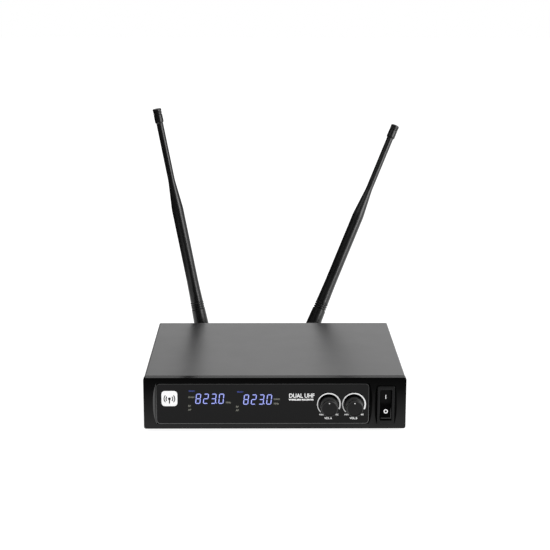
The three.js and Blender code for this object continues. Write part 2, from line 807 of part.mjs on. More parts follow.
function addFrontControls() {
  addPart("power_switch_housing", switchHousing(), blackPlastic());
  const lever = addPart("power_switch_rocker", rocker(), blackPlastic());
  lever.position.set(SWITCH.x, ROCKER.pivotY, SWITCH.z);
  lever.rotation.x = -ROCKER.tilt * DEGREE;
  for (const [letter, x] of Object.entries(KNOB.centres)) {
    addPart("volume_knob_" + letter, knob(), blackPlastic()).position.set(x, 0, KNOB.height);
    addPart("potentiometer_" + letter, potentiometer(), tinPlate()).position.set(x, 0, KNOB.height);
    addPart("potentiometer_nut_" + letter, potentiometerNut(), nickel()).position.set(x, 0, KNOB.height);
    const shaft = rodY(x, KNOB.height, SHAFT.radius, SHAFT.front, SHAFT.back, 20);
    addPart("potentiometer_shaft_" + letter, shaft, nickel());
  }
  for (const [letter, centre] of Object.entries(DISPLAY.centres)) {
    addPart("display_module_" + letter, displayModule(centre), smokedAcrylic());
  }
  addPart("front_board", frontBoard(), circuitBoard());
}

function addRearSockets() {
  for (const { letter, x } of ANTENNAS) {
    const socket = addPart("antenna_socket_" + letter, antennaSocket(), nickel());
    const nut = addPart("antenna_socket_nut_" + letter, antennaSocketNut(), nickel());
    socket.position.set(x, 0, ANTENNA_HEIGHT);
    nut.position.copy(socket.position);
  }
  for (const [letter, x] of Object.entries(XLR.centres)) {
    addPart("xlr_socket_" + letter, xlrSocket(x), blackPlastic());
    addPart("xlr_contacts_" + letter, xlrContacts(x), brass());
  }
  addPart("jack_socket", jackSocket(), blackPlastic());
  addPart("jack_nut", jackNut(), nickel());
  addPart("dc_inlet", dcInlet(), blackPlastic());
}

function addInside() {
  addPart("main_board", mainBoard(), circuitBoard());
  addPart("regulator_heatsink", regulatorHeatsink(), bareSteel());
  addPart("filter_capacitor", filterCapacitor(), leadJacket());
  addPart("ribbon_cable", ribbonCable(), greyRibbon());
  addPart("switch_lead", switchLead(), leadJacket());
  for (const { letter, x } of ANTENNAS) {
    const shieldX = SHIELD.centres[letter];
    addPart("tuner_shield_" + letter, tunerShield(shieldX), tinPlate());
    addPart("antenna_lead_" + letter, antennaLead(x, shieldX), leadJacket());
  }
}

addCase();
addFrontControls();
addRearSockets();
addInside();
ANTENNAS.forEach(addAntenna);

export default receiver;
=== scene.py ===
import json
import math

import bmesh
import bpy
from mathutils import Matrix, Vector


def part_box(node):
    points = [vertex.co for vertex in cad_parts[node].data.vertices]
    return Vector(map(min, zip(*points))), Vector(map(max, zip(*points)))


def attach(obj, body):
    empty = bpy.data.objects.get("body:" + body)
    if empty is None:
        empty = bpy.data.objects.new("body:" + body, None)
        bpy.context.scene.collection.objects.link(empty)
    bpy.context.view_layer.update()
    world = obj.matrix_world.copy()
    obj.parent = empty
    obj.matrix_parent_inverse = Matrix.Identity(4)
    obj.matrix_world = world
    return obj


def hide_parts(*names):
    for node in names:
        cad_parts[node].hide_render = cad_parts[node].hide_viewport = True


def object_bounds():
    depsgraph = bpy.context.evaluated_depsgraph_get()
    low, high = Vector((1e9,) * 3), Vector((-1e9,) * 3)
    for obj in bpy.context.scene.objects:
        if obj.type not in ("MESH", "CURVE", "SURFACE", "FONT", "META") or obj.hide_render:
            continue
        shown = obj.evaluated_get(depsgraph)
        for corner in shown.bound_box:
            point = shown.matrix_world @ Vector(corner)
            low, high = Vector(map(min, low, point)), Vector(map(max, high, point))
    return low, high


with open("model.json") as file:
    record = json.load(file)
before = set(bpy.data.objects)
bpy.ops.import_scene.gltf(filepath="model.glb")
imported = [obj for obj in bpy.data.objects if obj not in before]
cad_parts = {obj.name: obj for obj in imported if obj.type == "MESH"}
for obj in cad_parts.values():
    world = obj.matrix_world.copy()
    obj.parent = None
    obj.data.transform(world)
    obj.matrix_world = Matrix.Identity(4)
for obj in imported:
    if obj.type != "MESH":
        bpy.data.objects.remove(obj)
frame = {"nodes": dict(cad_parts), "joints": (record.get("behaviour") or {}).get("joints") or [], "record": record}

CAD_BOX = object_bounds()
MM = 0.001
IN_PLACE = Matrix.Identity(4)
CHASSIS = "chassis"
JOINTS = {joint["name"]: joint for joint in frame["joints"]}


def added(name, data):
    obj = bpy.data.objects.new(name, data)
    bpy.context.scene.collection.objects.link(obj)
    return obj


def shift(x, y, z):
    """A move by millimetres."""
    return Matrix.Translation((x * MM, y * MM, z * MM))


def rotation(axis, degrees):
    return Matrix.Rotation(math.radians(degrees), 4, axis)


def set_inputs(node, values):
    """Sets the node's inputs. A value that is another node's output is linked."""
    for name, value in values.items():
        if isinstance(value, bpy.types.NodeSocket):
            node.id_data.links.new(value, node.inputs[name])
        else:
            node.inputs[name].default_value = value


# -------------------- camera, floor and light

CAMERA = {
    "place": (-0.00953, -1.11744, 0.3654),
    "pitch_down": 12.9323,
    "turn_right": 0.5245,
    "roll": 0.0807,
    "lens": 88.0,
    "sensor": 36.0,
}


def add_camera():
    data = bpy.data.cameras.new("camera")
    data.lens = CAMERA["lens"]
    data.sensor_width = CAMERA["sensor"]
    data.clip_start = 0.01
    data.clip_end = 50
    camera = added("camera", data)
    turn = rotation("Z", -CAMERA["turn_right"]) @ rotation("X", 90 - CAMERA["pitch_down"])
    camera.matrix_world = Matrix.Translation(CAMERA["place"]) @ turn @ rotation("Z", CAMERA["roll"])
    bpy.context.scene.camera = camera


def stage_material(name, grey, glow):
    material = bpy.data.materials.new(name)
    material.use_nodes = True
    looks = {
        "Base Color": (grey, grey, grey, 1),
        "Roughness": 0.9,
        "Specular IOR Level": 0.0,
        "Emission Color": (1, 1, 1, 1),
        "Emission Strength": glow,
    }
    set_inputs(material.node_tree.nodes["Principled BSDF"], looks)
    return material


def card(name, centre, size, facing, material):
    """A flat studio card, centre and size in metres, facing the given direction."""
    width, height = size
    mesh = bpy.data.meshes.new(name)
    corners = [(-width / 2, -height / 2, 0), (width / 2, -height / 2, 0)]
    corners += [(width / 2, height / 2, 0), (-width / 2, height / 2, 0)]
    mesh.from_pydata(corners, [], [(0, 1, 2, 3)])
    mesh.materials.append(material)
    obj = added(name, mesh)
    turn = Vector(facing).to_track_quat("Z", "Y").to_matrix().to_4x4()
    obj.matrix_world = Matrix.Translation(centre) @ turn
    return obj


def add_stage():
    """A pale floor, and black cards that are only seen in reflections."""
    floor_level = CAD_BOX[0].z
    up = (0, 0, 1)
    card("floor", (0, 0, floor_level), (12, 12), up, stage_material("pale_floor", 0.25, 0.9))
    black = stage_material("black_card", 0.0, 0.0)
    cards = (
        ("floor", (0, -0.85, floor_level + 0.0005), (3.0, 1.26), up),
        ("front", (0, -1.5, 0.9), (3.0, 1.9), (0, 1, 0)),
        ("left", (-1.3, -0.3, 0.8), (2.4, 1.7), (1, 0, 0)),
        ("back", (-2.3, 3.0, 1.3), (3.4, 2.4), (0, -1, 0)),
        ("right", (1.9, 1.5, 0.8), (2.2, 1.7), (-1, -0.6, 0)),
        ("left_rear", (-1.6, 1.5, 0.8), (2.2, 1.7), (1, -0.6, 0)),
        ("floor_left", (-1.0, 0.5, floor_level + 0.0006), (1.5, 1.8), up),
    )
    for side, centre, size, facing in cards:
        obj = card(f"dark_card_{side}", centre, size, facing, black)
        obj.visible_camera = False
        obj.visible_shadow = False
        obj.visible_diffuse = False


def add_light(name, place, target, size, radiance):
    """A soft rectangular light of the given brightness, the white background being 1."""
    data = bpy.data.lights.new(name, "AREA")
    data.shape = "RECTANGLE"
    data.size, data.size_y = size
    data.energy = radiance * math.pi * size[0] * size[1]
    obj = added(name, data)
    direction = Vector(target) - Vector(place)
    obj.rotation_euler = direction.to_track_quat("-Z", "Y").to_euler()
    obj.location = place
    obj.visible_camera = False


def add_lights():
    world = bpy.data.worlds.new("studio")
    world.use_nodes = True
    set_inputs(world.node_tree.nodes["Background"], {"Color": (1, 1, 1, 1), "Strength": 1.0})
    bpy.context.scene.world = world
    add_light("side_softbox", (1.15, -0.7, 0.6), (0, 0.05, 0.12), (0.75, 1.3), 5.5)
    bpy.context.scene.view_settings.view_transform = "Standard"


# -------------------- materials


def add_node(tree, kind, values):
    node = tree.nodes.new(kind)
    set_inputs(node, values)
    return node


def object_place(tree):
    return add_node(tree, "ShaderNodeTexCoord", {}).outputs["Object"]


def noise(tree, scale, stretch=(1, 1, 1), detail=3.0):
    mapping = add_node(tree, "ShaderNodeMapping", {"Scale": stretch, "Vector": object_place(tree)})
    values = {"Scale": scale, "Detail": detail, "Vector": mapping.outputs["Vector"]}
    return add_node(tree, "ShaderNodeTexNoise", values).outputs["Fac"]


def spread(tree, value, low, high, reach=(0.3, 0.7)):
    """The value's useful range mapped to low..high."""
    values = {"Value": value, "From Min": reach[0], "From Max": reach[1], "To Min": low, "To Max": high}
    return add_node(tree, "ShaderNodeMapRange", values).outputs["Result"]


def tint(tree, value, dark, light):
    node = tree.nodes.new("ShaderNodeMix")
    node.data_type = "RGBA"
    tree.links.new(value, node.inputs["Factor"])
    first, second = [socket for socket in node.inputs if socket.type == "RGBA"]
    first.default_value = (*dark, 1)
    second.default_value = (*light, 1)
    return [socket for socket in node.outputs if socket.type == "RGBA"][0]


def relief(tree, height, strength, distance):
    values = {"Height": height, "Strength": strength, "Distance": distance}
    return add_node(tree, "ShaderNodeBump", values).outputs["Normal"]


def shaded(name, metallic=0.0, specular=0.5):
    material = bpy.data.materials.new(name)
    material.use_nodes = True
    tree = material.node_tree
    shader = tree.nodes["Principled BSDF"]
    set_inputs(shader, {"Metallic": metallic, "Specular IOR Level": specular, "IOR": 1.5})
    return material, tree, shader


def finish_with(shader, colour, roughness, normal):
    set_inputs(shader, {"Base Color": colour, "Roughness": roughness, "Normal": normal})


def worn(
    name, colour, roughness, metallic=0.0, specular=0.5, grain=1500.0, depth=2e-5, mottle=60.0, change=0.12
):
    """A material with a fine grain, patches of slightly different gloss, and slight colour variation."""
    material, tree, shader = shaded(name, metallic, specular)
    fine = noise(tree, grain, detail=4.0)
    broad = noise(tree, mottle, detail=5.0)
    dark = [channel * (1 - 1.5 * change) for channel in colour]
    light = [min(1.0, channel * (1 + 1.5 * change)) for channel in colour]
    gloss = spread(tree, broad, roughness * (1 - change), roughness * (1 + change))
    finish_with(shader, tint(tree, broad, dark, light), gloss, relief(tree, fine, 0.5, depth))
    return material


def brushed(name, colour, roughness, along):
    """A metal brushed in one direction: long fine lines in its colour, gloss and relief."""
    material, tree, shader = shaded(name, 1.0)
    fine = noise(tree, 1.0, along, detail=2.0)
    coarse = spread(tree, noise(tree, 1.0, [axis * 0.35 for axis in along], detail=3.0), 0.0, 1.0)
    dark = [channel * 0.55 for channel in colour]
    light = [min(1.0, channel * 1.6) for channel in colour]
    gloss = spread(tree, fine, roughness * 0.8, roughness * 1.25)
    finish_with(shader, tint(tree, coarse, dark, light), gloss, relief(tree, fine, 0.6, 1.2e-5))
    return material


def painted_light_ramp(name, top, bottom, heights, roughness, specular):
    """A finish with painted light: its colour is darker at its top than at its bottom, standing in for how the
    surroundings light it and reflect in it, with a fine brushed relief. The heights are in millimetres."""
    material, tree, shader = shaded(name, 0.0, specular)
    parts = add_node(tree, "ShaderNodeSeparateXYZ", {"Vector": object_place(tree)})
    height = spread(tree, parts.outputs["Z"], 0.0, 1.0, [level * MM for level in heights])
    fine = noise(tree, 1.0, (9, 9, 2600), detail=2.0)
    gloss = spread(tree, fine, roughness * 0.9, roughness * 1.1)
    finish_with(shader, tint(tree, height, [bottom] * 3, [top] * 3), gloss, relief(tree, fine, 0.6, 6e-6))
    return material


def glowing(name, colour, strength, core):
    """A lit segment: brighter in patches, as light guides are."""
    material, tree, shader = shaded(name, 0.0, 0.3)
    unlit = (*[channel * 0.2 for channel in colour], 1)
    glow = tint(tree, noise(tree, 400.0, detail=2.0), colour, core)
    values = {"Roughness": 0.3, "Base Color": unlit, "Emission Strength": strength, "Emission Color": glow}
    set_inputs(shader, values)
    return material


MATERIALS = {
    "cover_paint": worn(
        "cover_paint", (0.03, 0.03, 0.0305), 0.34, specular=0.6, grain=2600, depth=6e-6, change=0.03
    ),
    "case_paint": worn("case_paint", (0.02, 0.02, 0.021), 0.42, grain=2600, depth=3e-5),
    # Painted shade: the front panel's colour runs from near black at its top to dark grey at its bottom.
    "fascia": painted_light_ramp("brushed_fascia", 0.0002, 0.0145, (4, 34), 0.2, 0.06),
    "window": worn("smoked_acrylic", (0.001, 0.001, 0.0011), 0.04, specular=0.165, grain=300, depth=3e-7),
    # Painted highlight: the window's outline is a lighter grey, brightest at its bottom.
    "window_edge_highlight": painted_light_ramp("painted_highlight_edge", 0.035, 0.12, (4, 36), 0.3, 0.3),
    "black_plastic": worn("black_plastic", (0.012, 0.012, 0.0125), 0.42, specular=0.45),
    "bezel": worn("bezel_plastic", (0.003, 0.003, 0.0031), 0.35, specular=0.2, depth=6e-6),
    "knob": worn("knob_plastic", (0.002, 0.002, 0.0021), 0.3, specular=0.22, depth=6e-6),
    "knob_rim": worn("knob_rim", (0.003, 0.003, 0.0031), 0.2, specular=0.7, depth=3e-6),
    "rocker": worn("rocker_plastic", (0.0012, 0.0012, 0.0012), 0.3, specular=0.09, depth=6e-6),
    # Painted highlight: a light grey for edges and slopes that face the side light.
    "lit_edge": worn("lit_edge", (0.055, 0.055, 0.055), 0.35, specular=0.2, depth=4e-6),
    # Painted shade: near black for recess ends that lie in shade.
    "scoop_painted_shade": worn("scoop_painted_shade", (0.001, 0.001, 0.001), 0.4, specular=0.05, depth=4e-6),
    "antenna_jacket": worn("antenna_jacket", (0.004, 0.004, 0.0041), 0.3, depth=8e-6),
    "nickel": worn("nickel_plate", (0.62, 0.6, 0.56), 0.2, metallic=1.0, grain=900, depth=4e-6),
    "brass": worn("brass", (0.72, 0.53, 0.24), 0.24, metallic=1.0, grain=900, depth=4e-6),
    "zinc_steel": worn("zinc_steel", (0.5, 0.5, 0.52), 0.34, metallic=1.0, grain=700, depth=1e-5),
    "black_screw": worn("black_screw", (0.03, 0.03, 0.032), 0.3, metallic=0.7, depth=1e-5),
    "rubber": worn("rubber", (0.018, 0.018, 0.018), 0.75, specular=0.3, depth=4e-5),
    "circuit_board": worn("circuit_board", (0.02, 0.12, 0.05), 0.45, mottle=300),
    "tin_plate": brushed("tin_plate", (0.55, 0.56, 0.57), 0.3, (1500, 20, 20)),
    "lead_jacket": worn("lead_jacket", (0.025, 0.025, 0.025), 0.4),
    "ribbon": worn("ribbon", (0.4, 0.41, 0.42), 0.5),
    "display": worn("display_filter", (0.006, 0.006, 0.009), 0.15),
    "lit_blue": glowing("lit_blue", (0.32, 0.38, 1.0), 0.95, (0.6, 0.68, 1.0)),
    "blue_halo": glowing("blue_halo", (0.015, 0.02, 0.24), 0.7, (0.03, 0.03, 0.36)),
    "lit_label": glowing("lit_label", (0.05, 0.08, 0.42), 0.4, (0.12, 0.16, 0.6)),
    "white_print": worn("white_print", (0.72, 0.72, 0.72), 0.5, specular=0.3, mottle=900),
    "grey_print": worn("grey_print", (0.13, 0.13, 0.11), 0.5, specular=0.3, mottle=900),
}

# -------------------- outlines


def filleted(points, radius, steps=5, closed=True):
    """The outline with its corners rounded. radius is one number or one for each point."""
    count = len(points)
    radii = [radius] * count if isinstance(radius, (int, float)) else radius
    rounded = []
    for i, (point, r) in enumerate(zip(points, radii)):
        here = Vector(point)
        before = Vector(points[i - 1]) - here
        after = Vector(points[(i + 1) % count]) - here
        at_end = not closed and i in (0, count - 1)
        kept = at_end or r <= 0 or min(before.length, after.length) < 1e-6
        angle = math.pi if kept else before.angle(after)
        if angle > math.pi - 0.02:
            rounded.append(tuple(here))
            continue
        reach = min(r / math.tan(angle / 2), 0.48 * before.length, 0.48 * after.length)
        start = here + before.normalized() * reach
        end = here + after.normalized() * reach
        for step in range(steps + 1):
            t = step / steps
            rounded.append(tuple(start * (1 - t) ** 2 + here * 2 * t * (1 - t) + end * t**2))
    return rounded


def rectangle(x0, x1, z0, z1, radius=0.0, steps=6):
    corners = [(x0, z0), (x1, z0), (x1, z1), (x0, z1)]
    return filleted(corners, radius, steps) if radius else corners


def on_circle(x, z, radius, angle):
    return x + radius * math.cos(angle), z + radius * math.sin(angle)


def circle(x, z, radius, count=48):
    return [on_circle(x, z, radius, 2 * math.pi * i / count) for i in range(count)]


def arc_band(x, z, radius, angles, widths):
    """The outline of a band along an arc, with its width at each angle."""
    outer = [on_circle(x, z, radius + width / 2, angle) for angle, width in zip(angles, widths)]
    inner = [on_circle(x, z, radius - width / 2, angle) for angle, width in zip(angles, widths)]
    return outer + inner[::-1]


def about(middle, half):
    return middle - half, middle + half


def grown(ends, margin):
    return ends[0] - margin, ends[1] + margin


def rod_profile(radius, start, end):
    return [(0, start), (radius, start), (radius, end), (0, end)]


# -------------------- solids


def evaluated_mesh(obj):
    """The mesh that the object's curve or modifiers make."""
    depsgraph = bpy.context.evaluated_depsgraph_get()
    return bpy.data.meshes.new_from_object(obj.evaluated_get(depsgraph))


def shade(bm, smooth_below):
    """Makes the faces smooth and keeps the edges that are sharper than the angle."""
    limit = math.radians(smooth_below)
    for face in bm.faces:
        face.smooth = True
    for edge in bm.edges:
        edge.smooth = not (len(edge.link_faces) == 2 and edge.calc_face_angle() > limit)


def from_bmesh(name, bm, smooth_below=35):
    bmesh.ops.remove_doubles(bm, verts=bm.verts, dist=1e-7)
    bmesh.ops.recalc_face_normals(bm, faces=bm.faces)
    shade(bm, smooth_below)
    mesh = bpy.data.meshes.new(name)
    bm.to_mesh(mesh)
    bm.free()
    return added(name, mesh)


def from_curve(name, data, place):
    holder = added(name, data)
    bm = bmesh.new()
    bm.from_mesh(evaluated_mesh(holder))
    bpy.data.objects.remove(holder)
    bm.transform(place)
    return from_bmesh(name, bm)


def lofted(name, rings, place=IN_PLACE):
    """Rings of points in millimetres joined in order into a closed solid."""
    bm = bmesh.new()
    rings = [[bm.verts.new([value * MM for value in point]) for point in ring] for ring in rings]
    for lower, upper in zip(rings, rings[1:]):
        for i in range(len(lower)):
            j = (i + 1) % len(lower)
            bm.faces.new([lower[i], lower[j], upper[j], upper[i]])
    bm.faces.new(rings[0])
    bm.faces.new(rings[-1])
    bm.transform(place)
    return from_bmesh(name, bm)


def turned(
    name, profile, place=IN_PLACE, steps=64, radii=None, fine=4, wave=None, smooth_below=35
):
    """A profile of [radius, height] in millimetres turned about the place's Z axis.
    A profile that ends where it starts makes a ring. radii rounds the corners of an open profile, each
    in so many fine steps. wave(angle, height) scales the radius."""
    if radii is not None:
        profile = filleted(profile, radii, fine, closed=False)
    closed = profile[0] == profile[-1]
    points = profile[:-1] if closed else profile
    bm = bmesh.new()
    rings = []
    for radius, height in points:
        if radius < 1e-6:
            rings.append([bm.verts.new((0, 0, height * MM))])
            continue
        ring = []
        for i in range(steps):
            angle = 2 * math.pi * i / steps
            reach = radius * MM * (wave(angle, height) if wave else 1)
            ring.append(bm.verts.new((reach * math.cos(angle), reach * math.sin(angle), height * MM)))
        rings.append(ring)
    pairs = list(zip(rings, rings[1:]))
    if closed:
        pairs.append((rings[-1], rings[0]))
    for lower, upper in pairs:
        for i in range(steps):
            j = (i + 1) % steps
            corners = [lower[i % len(lower)], lower[j % len(lower)]]
            corners += [upper[j % len(upper)], upper[i % len(upper)]]
            corners = list(dict.fromkeys(corners))
            if len(corners) > 2:
                bm.faces.new(corners)
    bm.transform(place)
    return from_bmesh(name, bm, smooth_below)


def plate(name, outlines, y0, y1, bevel=0.0, place=IN_PLACE, rounding=3):
    """Outlines in X and Z, the first the outer edge and the rest holes, made solid from y0 to y1, in
    millimetres."""
    curve = bpy.data.curves.new(name, "CURVE")
    curve.dimensions = "2D"
    curve.fill_mode = "BOTH"
    for points in outlines:
        spline = curve.splines.new("POLY")
        spline.points.add(len(points) - 1)
        for target, (x, z) in zip(spline.points, points):
            target.co = (x * MM, z * MM, 0, 1)
        spline.use_cyclic_u = True
    curve.extrude = ((y1 - y0) / 2 - bevel) * MM
    curve.bevel_depth = bevel * MM
    curve.bevel_resolution = rounding
    curve.offset = -bevel * MM
    return from_curve(name, curve, place @ shift(0, (y0 + y1) / 2, 0) @ rotation("X", 90))


def block(name, x, y, z, bevel=0.0, segments=2, place=IN_PLACE):
    """A box between the given pairs of millimetres, its edges rounded."""
    bm = bmesh.new()
    corners = [bm.verts.new((px * MM, py * MM, pz * MM)) for px in x for py in y for pz in z]
    for face in ((0, 1, 3, 2), (4, 6, 7, 5), (0, 4, 5, 1), (2, 3, 7, 6), (0, 2, 6, 4), (1, 5, 7, 3)):
        bm.faces.new([corners[i] for i in face])
    if bevel:
        width = bevel * MM
        bmesh.ops.bevel(bm, geom=bm.edges[:], offset=width, segments=segments, profile=0.5, affect="EDGES")
    bm.transform(place)
    return from_bmesh(name, bm)


def axis_y(x, z):
    """The frame whose Z axis runs along +Y through the given point, in millimetres."""
    return shift(x, 0, z) @ rotation("X", -90)


def rod(name, x, z, radius, y0, y1, count=48):
    """A rod along Y, all in millimetres."""
    return turned(name, rod_profile(radius, y0, y1), axis_y(x, z), count)


def joined(name, objects):
    bm = bmesh.new()
    for obj in objects:
        obj.data.transform(obj.matrix_world)
        bm.from_mesh(obj.data)
        bpy.data.objects.remove(obj)
    return from_bmesh(name, bm)


def boolean(obj, others, operation):
    """The object joined with, cut by or kept inside the others, which are used up."""
    for other in others:
        modifier = obj.modifiers.new("boolean", "BOOLEAN")
        modifier.operation = operation
        modifier.solver = "EXACT"
        modifier.object = other
    baked(obj)
    for other in others:
        bpy.data.objects.remove(other)
    return obj


def baked(obj, smooth_below=35):
    """Applies the object's modifiers to its mesh."""
    bm = bmesh.new()
    bm.from_mesh(evaluated_mesh(obj))
    obj.modifiers.clear()
    bmesh.ops.remove_doubles(bm, verts=bm.verts, dist=1e-7)
    bmesh.ops.dissolve_degenerate(bm, edges=bm.edges, dist=1e-7)
    shade(bm, smooth_below)
    bm.to_mesh(obj.data)
    bm.free()
    return obj


def softened(obj, width, segments=2, angle=40):
    """Rounds the edges that are sharper than the angle."""
    modifier = obj.modifiers.new("bevel", "BEVEL")
    modifier.width = width * MM
    modifier.segments = segments
    modifier.limit_method = "ANGLE"
    modifier.angle_limit = math.radians(angle)
    modifier.use_clamp_overlap = True
    return baked(obj, 50)


FONT_SIZE_TO_HEIGHT = 1.38
PRINT_THICKNESS = 0.03


def lettering(name, text, x, z, size, y, bold, place=IN_PLACE, align="LEFT"):
    """Printed letters facing -Y, their lower left corner at x, z and their height size, in millimetres."""
    data = bpy.data.curves.new(name, "FONT")
    data.body = text
    data.size = size * MM * FONT_SIZE_TO_HEIGHT
    data.extrude = PRINT_THICKNESS / 2 * MM
    data.offset = bold * MM
    data.align_x = align
    data.resolution_u = 3
    return from_curve(name, data, place @ shift(x, y, z) @ rotation("X", 90))


def weigh_normals(obj):
    """Keeps large flat faces flat-looking up to the rounded edges beside them."""
    modifier = obj.modifiers.new("weighted_normal", "WEIGHTED_NORMAL")
    modifier.keep_sharp = True
    modifier.weight = 90
    mesh = evaluated_mesh(obj)
    obj.modifiers.clear()
    obj.data = mesh


def dress(obj, slot, replaces=(), finish=None, body=CHASSIS):
    """Weighs the piece's normals, gives it the material of its finish, or else of its slot, hides the CAD nodes it
    replaces and attaches it to its body.
    """
    weigh_normals(obj)
    obj.data.materials.clear()
    obj.data.materials.append(MATERIALS[finish or slot])
    for face in obj.data.polygons:
        face.material_index = 0
    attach(obj, body)
    if replaces:
        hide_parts(*replaces)


def box_mm(node):
    """Where a CAD node starts and ends along X, Y and Z, in millimetres."""
    low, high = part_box(node)
    return [(low[i] / MM, high[i] / MM) for i in range(3)]


def span_mm(node, axis):
    return box_mm(node)["XYZ".index(axis)]


def centre_mm(node, axis):
    return sum(span_mm(node, axis)) / 2


def middle_mm(node):
    return centre_mm(node, "X"), centre_mm(node, "Z")


# -------------------- case

CASE_X, CASE_Y, CASE_Z = box_mm("top_cover")
SHEET = 1.2
BEND = 1.5
VENT = {"count": 8, "first": -18, "pitch": 7, "width": 2.2, "z": (32.5, 38.5)}
CORNERS = [(side, end) for side in ("left", "right") for end in ("front", "rear")]
SCREW_HEAD = 2.9


def make_cover():
    left, right = CASE_X
    bottom, top = CASE_Z
    outer = [(left, bottom), (left, top), (right, top), (right, bottom)]
    inner = [(right - SHEET, bottom), (right - SHEET, top - SHEET)]
    inner += [(left + SHEET, top - SHEET), (left + SHEET, bottom)]
    outline = filleted(outer + inner, [0, BEND, BEND, 0, 0, BEND - SHEET, BEND - SHEET, 0], 8)
    cover = plate("folded_cover", [outline], *CASE_Y)
    cutters = []
    for i in range(VENT["count"]):
        y0 = VENT["first"] + VENT["pitch"] * i
        for x in CASE_X:
            cutters.append(block("slot", about(x, 4), (y0, y0 + VENT["width"]), VENT["z"], 0.9, 3))
    # A countersink and its hole are one turned cutter, so that no two cutters overlap.
    seat = [(0, -4), (1.8, -4), (1.8, -0.4), (3.4, -0.4), (3.4, 0.4), (1.8, 0.4), (1.8, 4), (0, 4)]
    for side, end in CORNERS:
        node = f"cover_screw_{side}_{end}"
        x = left if side == "left" else right
        sideways = shift(x, centre_mm(node, "Y"), centre_mm(node, "Z")) @ rotation("Y", 90)
        cutters.append(turned("screw_seat", seat, sideways, 32))
    boolean(cover, [joined("cutters", cutters)], "DIFFERENCE")
    softened(cover, 0.22, 2)
    dress(cover, "case_paint", ["top_cover"], "cover_paint")


def make_cover_screws():
    profile = [(0, -1.7), (SCREW_HEAD, -1.7), (SCREW_HEAD, -0.9), (2.2, -0.15), (0, 0)]
    for side, end in CORNERS:
        node = f"cover_screw_{side}_{end}"
        outwards = 1 if side == "right" else -1
        x = span_mm(node, "X")[side == "right"]
        y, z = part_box(node)[0].y + SCREW_HEAD * MM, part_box(node)[0].z + SCREW_HEAD * MM
        place = Matrix.Translation((x * MM, y, z)) @ rotation("Y", outwards * 90)
        head = turned("head", profile, place, 40, 0.35)
        blades = []
        for quarter in (0, 1):
            spin = place @ Matrix.Rotation(quarter * math.pi / 2 + 0.35, 4, "Z")
            blades.append(block("blade", about(0, 1.5), about(0, 0.3), (-1.0, 1), 0.12, 2, spin))
        cross = boolean(blades[0], [blades[1]], "UNION")
        screw = boolean(head, [cross], "DIFFERENCE")
        screw.name = f"pan_head_screw_{side}_{end}"
        dress(screw, "zinc_steel", [node], "black_screw")


def make_feet():
    for side, end in CORNERS:
        node = f"foot_{side}_{end}"
        z0, z1 = span_mm(node, "Z")
        profile = [(0, z0 + 0.5), (3.2, z0 + 0.5), (3.6, z0), (5.5, z0)]
        profile += [(6.5, z0 + 1.1), (6.5, z1), (0, z1)]
        place = shift(centre_mm(node, "X"), centre_mm(node, "Y"), 0)
        foot = turned(f"rubber_foot_{side}_{end}", profile, place, 48, 0.4)
        dress(foot, "rubber", [node])


# -------------------- front panel and window

FASCIA_X, FASCIA_Y, FASCIA_Z = box_mm("front_panel")
WINDOW_X, WINDOW_Y, WINDOW_Z = box_mm("display_window")
SWITCH_X, SWITCH_Y, SWITCH_Z = box_mm("power_switch_housing")
WINDOW_RECESS = {"gap": 0.25, "bulge": 2.6, "scoop": 1.5, "floor": 2.6}
SWITCH_RECESS = {"gap": 0.2, "bulge": 1.9, "scoop": 0.9, "floor": 1.0}
DISPLAY_HOLE = {"x": (-73, 5.5), "z": (12.8, 34.2)}
SWITCH_HOLE = {"x": (83.2, 96), "z": (6.0, 34.6)}
PRINT_Y = WINDOW_Y[0]
KNOB_X = {letter: centre_mm(f"volume_knob_{letter}", "X") for letter in "ab"}
KNOB_Z = centre_mm("volume_knob_a", "Z")


def crescent(z, bulge, scoop, slices, least):
    """For each slice from the bottom up: its level, its reach sideways and its depth."""
    half = (z[1] - z[0]) / 2
    for i in range(slices + 1):
        level = z[0] + (z[1] - z[0]) * i / slices
        away = abs(level - (z[0] + half)) / half
        yield level, bulge * max(least[0], 1 - away**2.6), scoop * max(least[1], 1 - away**6)


def scooped_recess(name, x, z, recess):
    """A recess round a straight-sided piece. Its ends bulge as arcs and slope from the front face down to
    the scoop's depth, and its floor lies deeper, under the piece."""
    front = FASCIA_Y[0]
    rings = []
    for level, reach, deep in crescent(z, recess["bulge"], recess["scoop"], 36, (0.015, 0.03)):
        side = [(reach, -1), (reach, 0), (reach * 0.35, deep * 0.8), (0, deep), (0, recess["floor"])]
        left = [(x[0] - away, front + depth, level) for away, depth in side]
        right = [(x[1] + away, front + depth, level) for away, depth in reversed(side)]
        rings.append(left + right)
    return lofted(name, rings)


def scoop_liner(name, edge, sign, z, bulge, scoop, material):
    """The sloping face of a recess's end, from its arc in the front face down to the piece's side, a thin shell
    that carries a painted highlight or painted shade.
    """
    inner = edge + sign * 0.02
    rings = []
    for level, reach, deep in crescent(z, bulge, scoop, 24, (0.02, 0.05)):
        outer = inner + sign * reach * 0.97
        high, low = FASCIA_Y[0] + 0.05, FASCIA_Y[0] + deep * 0.8
        section = ((outer, high), (inner, low), (inner, low + 0.15), (outer, high + 0.15))
        rings.append([(x, y, level) for x, y in section])
    dress(lofted(name, rings), "fascia", finish=material)


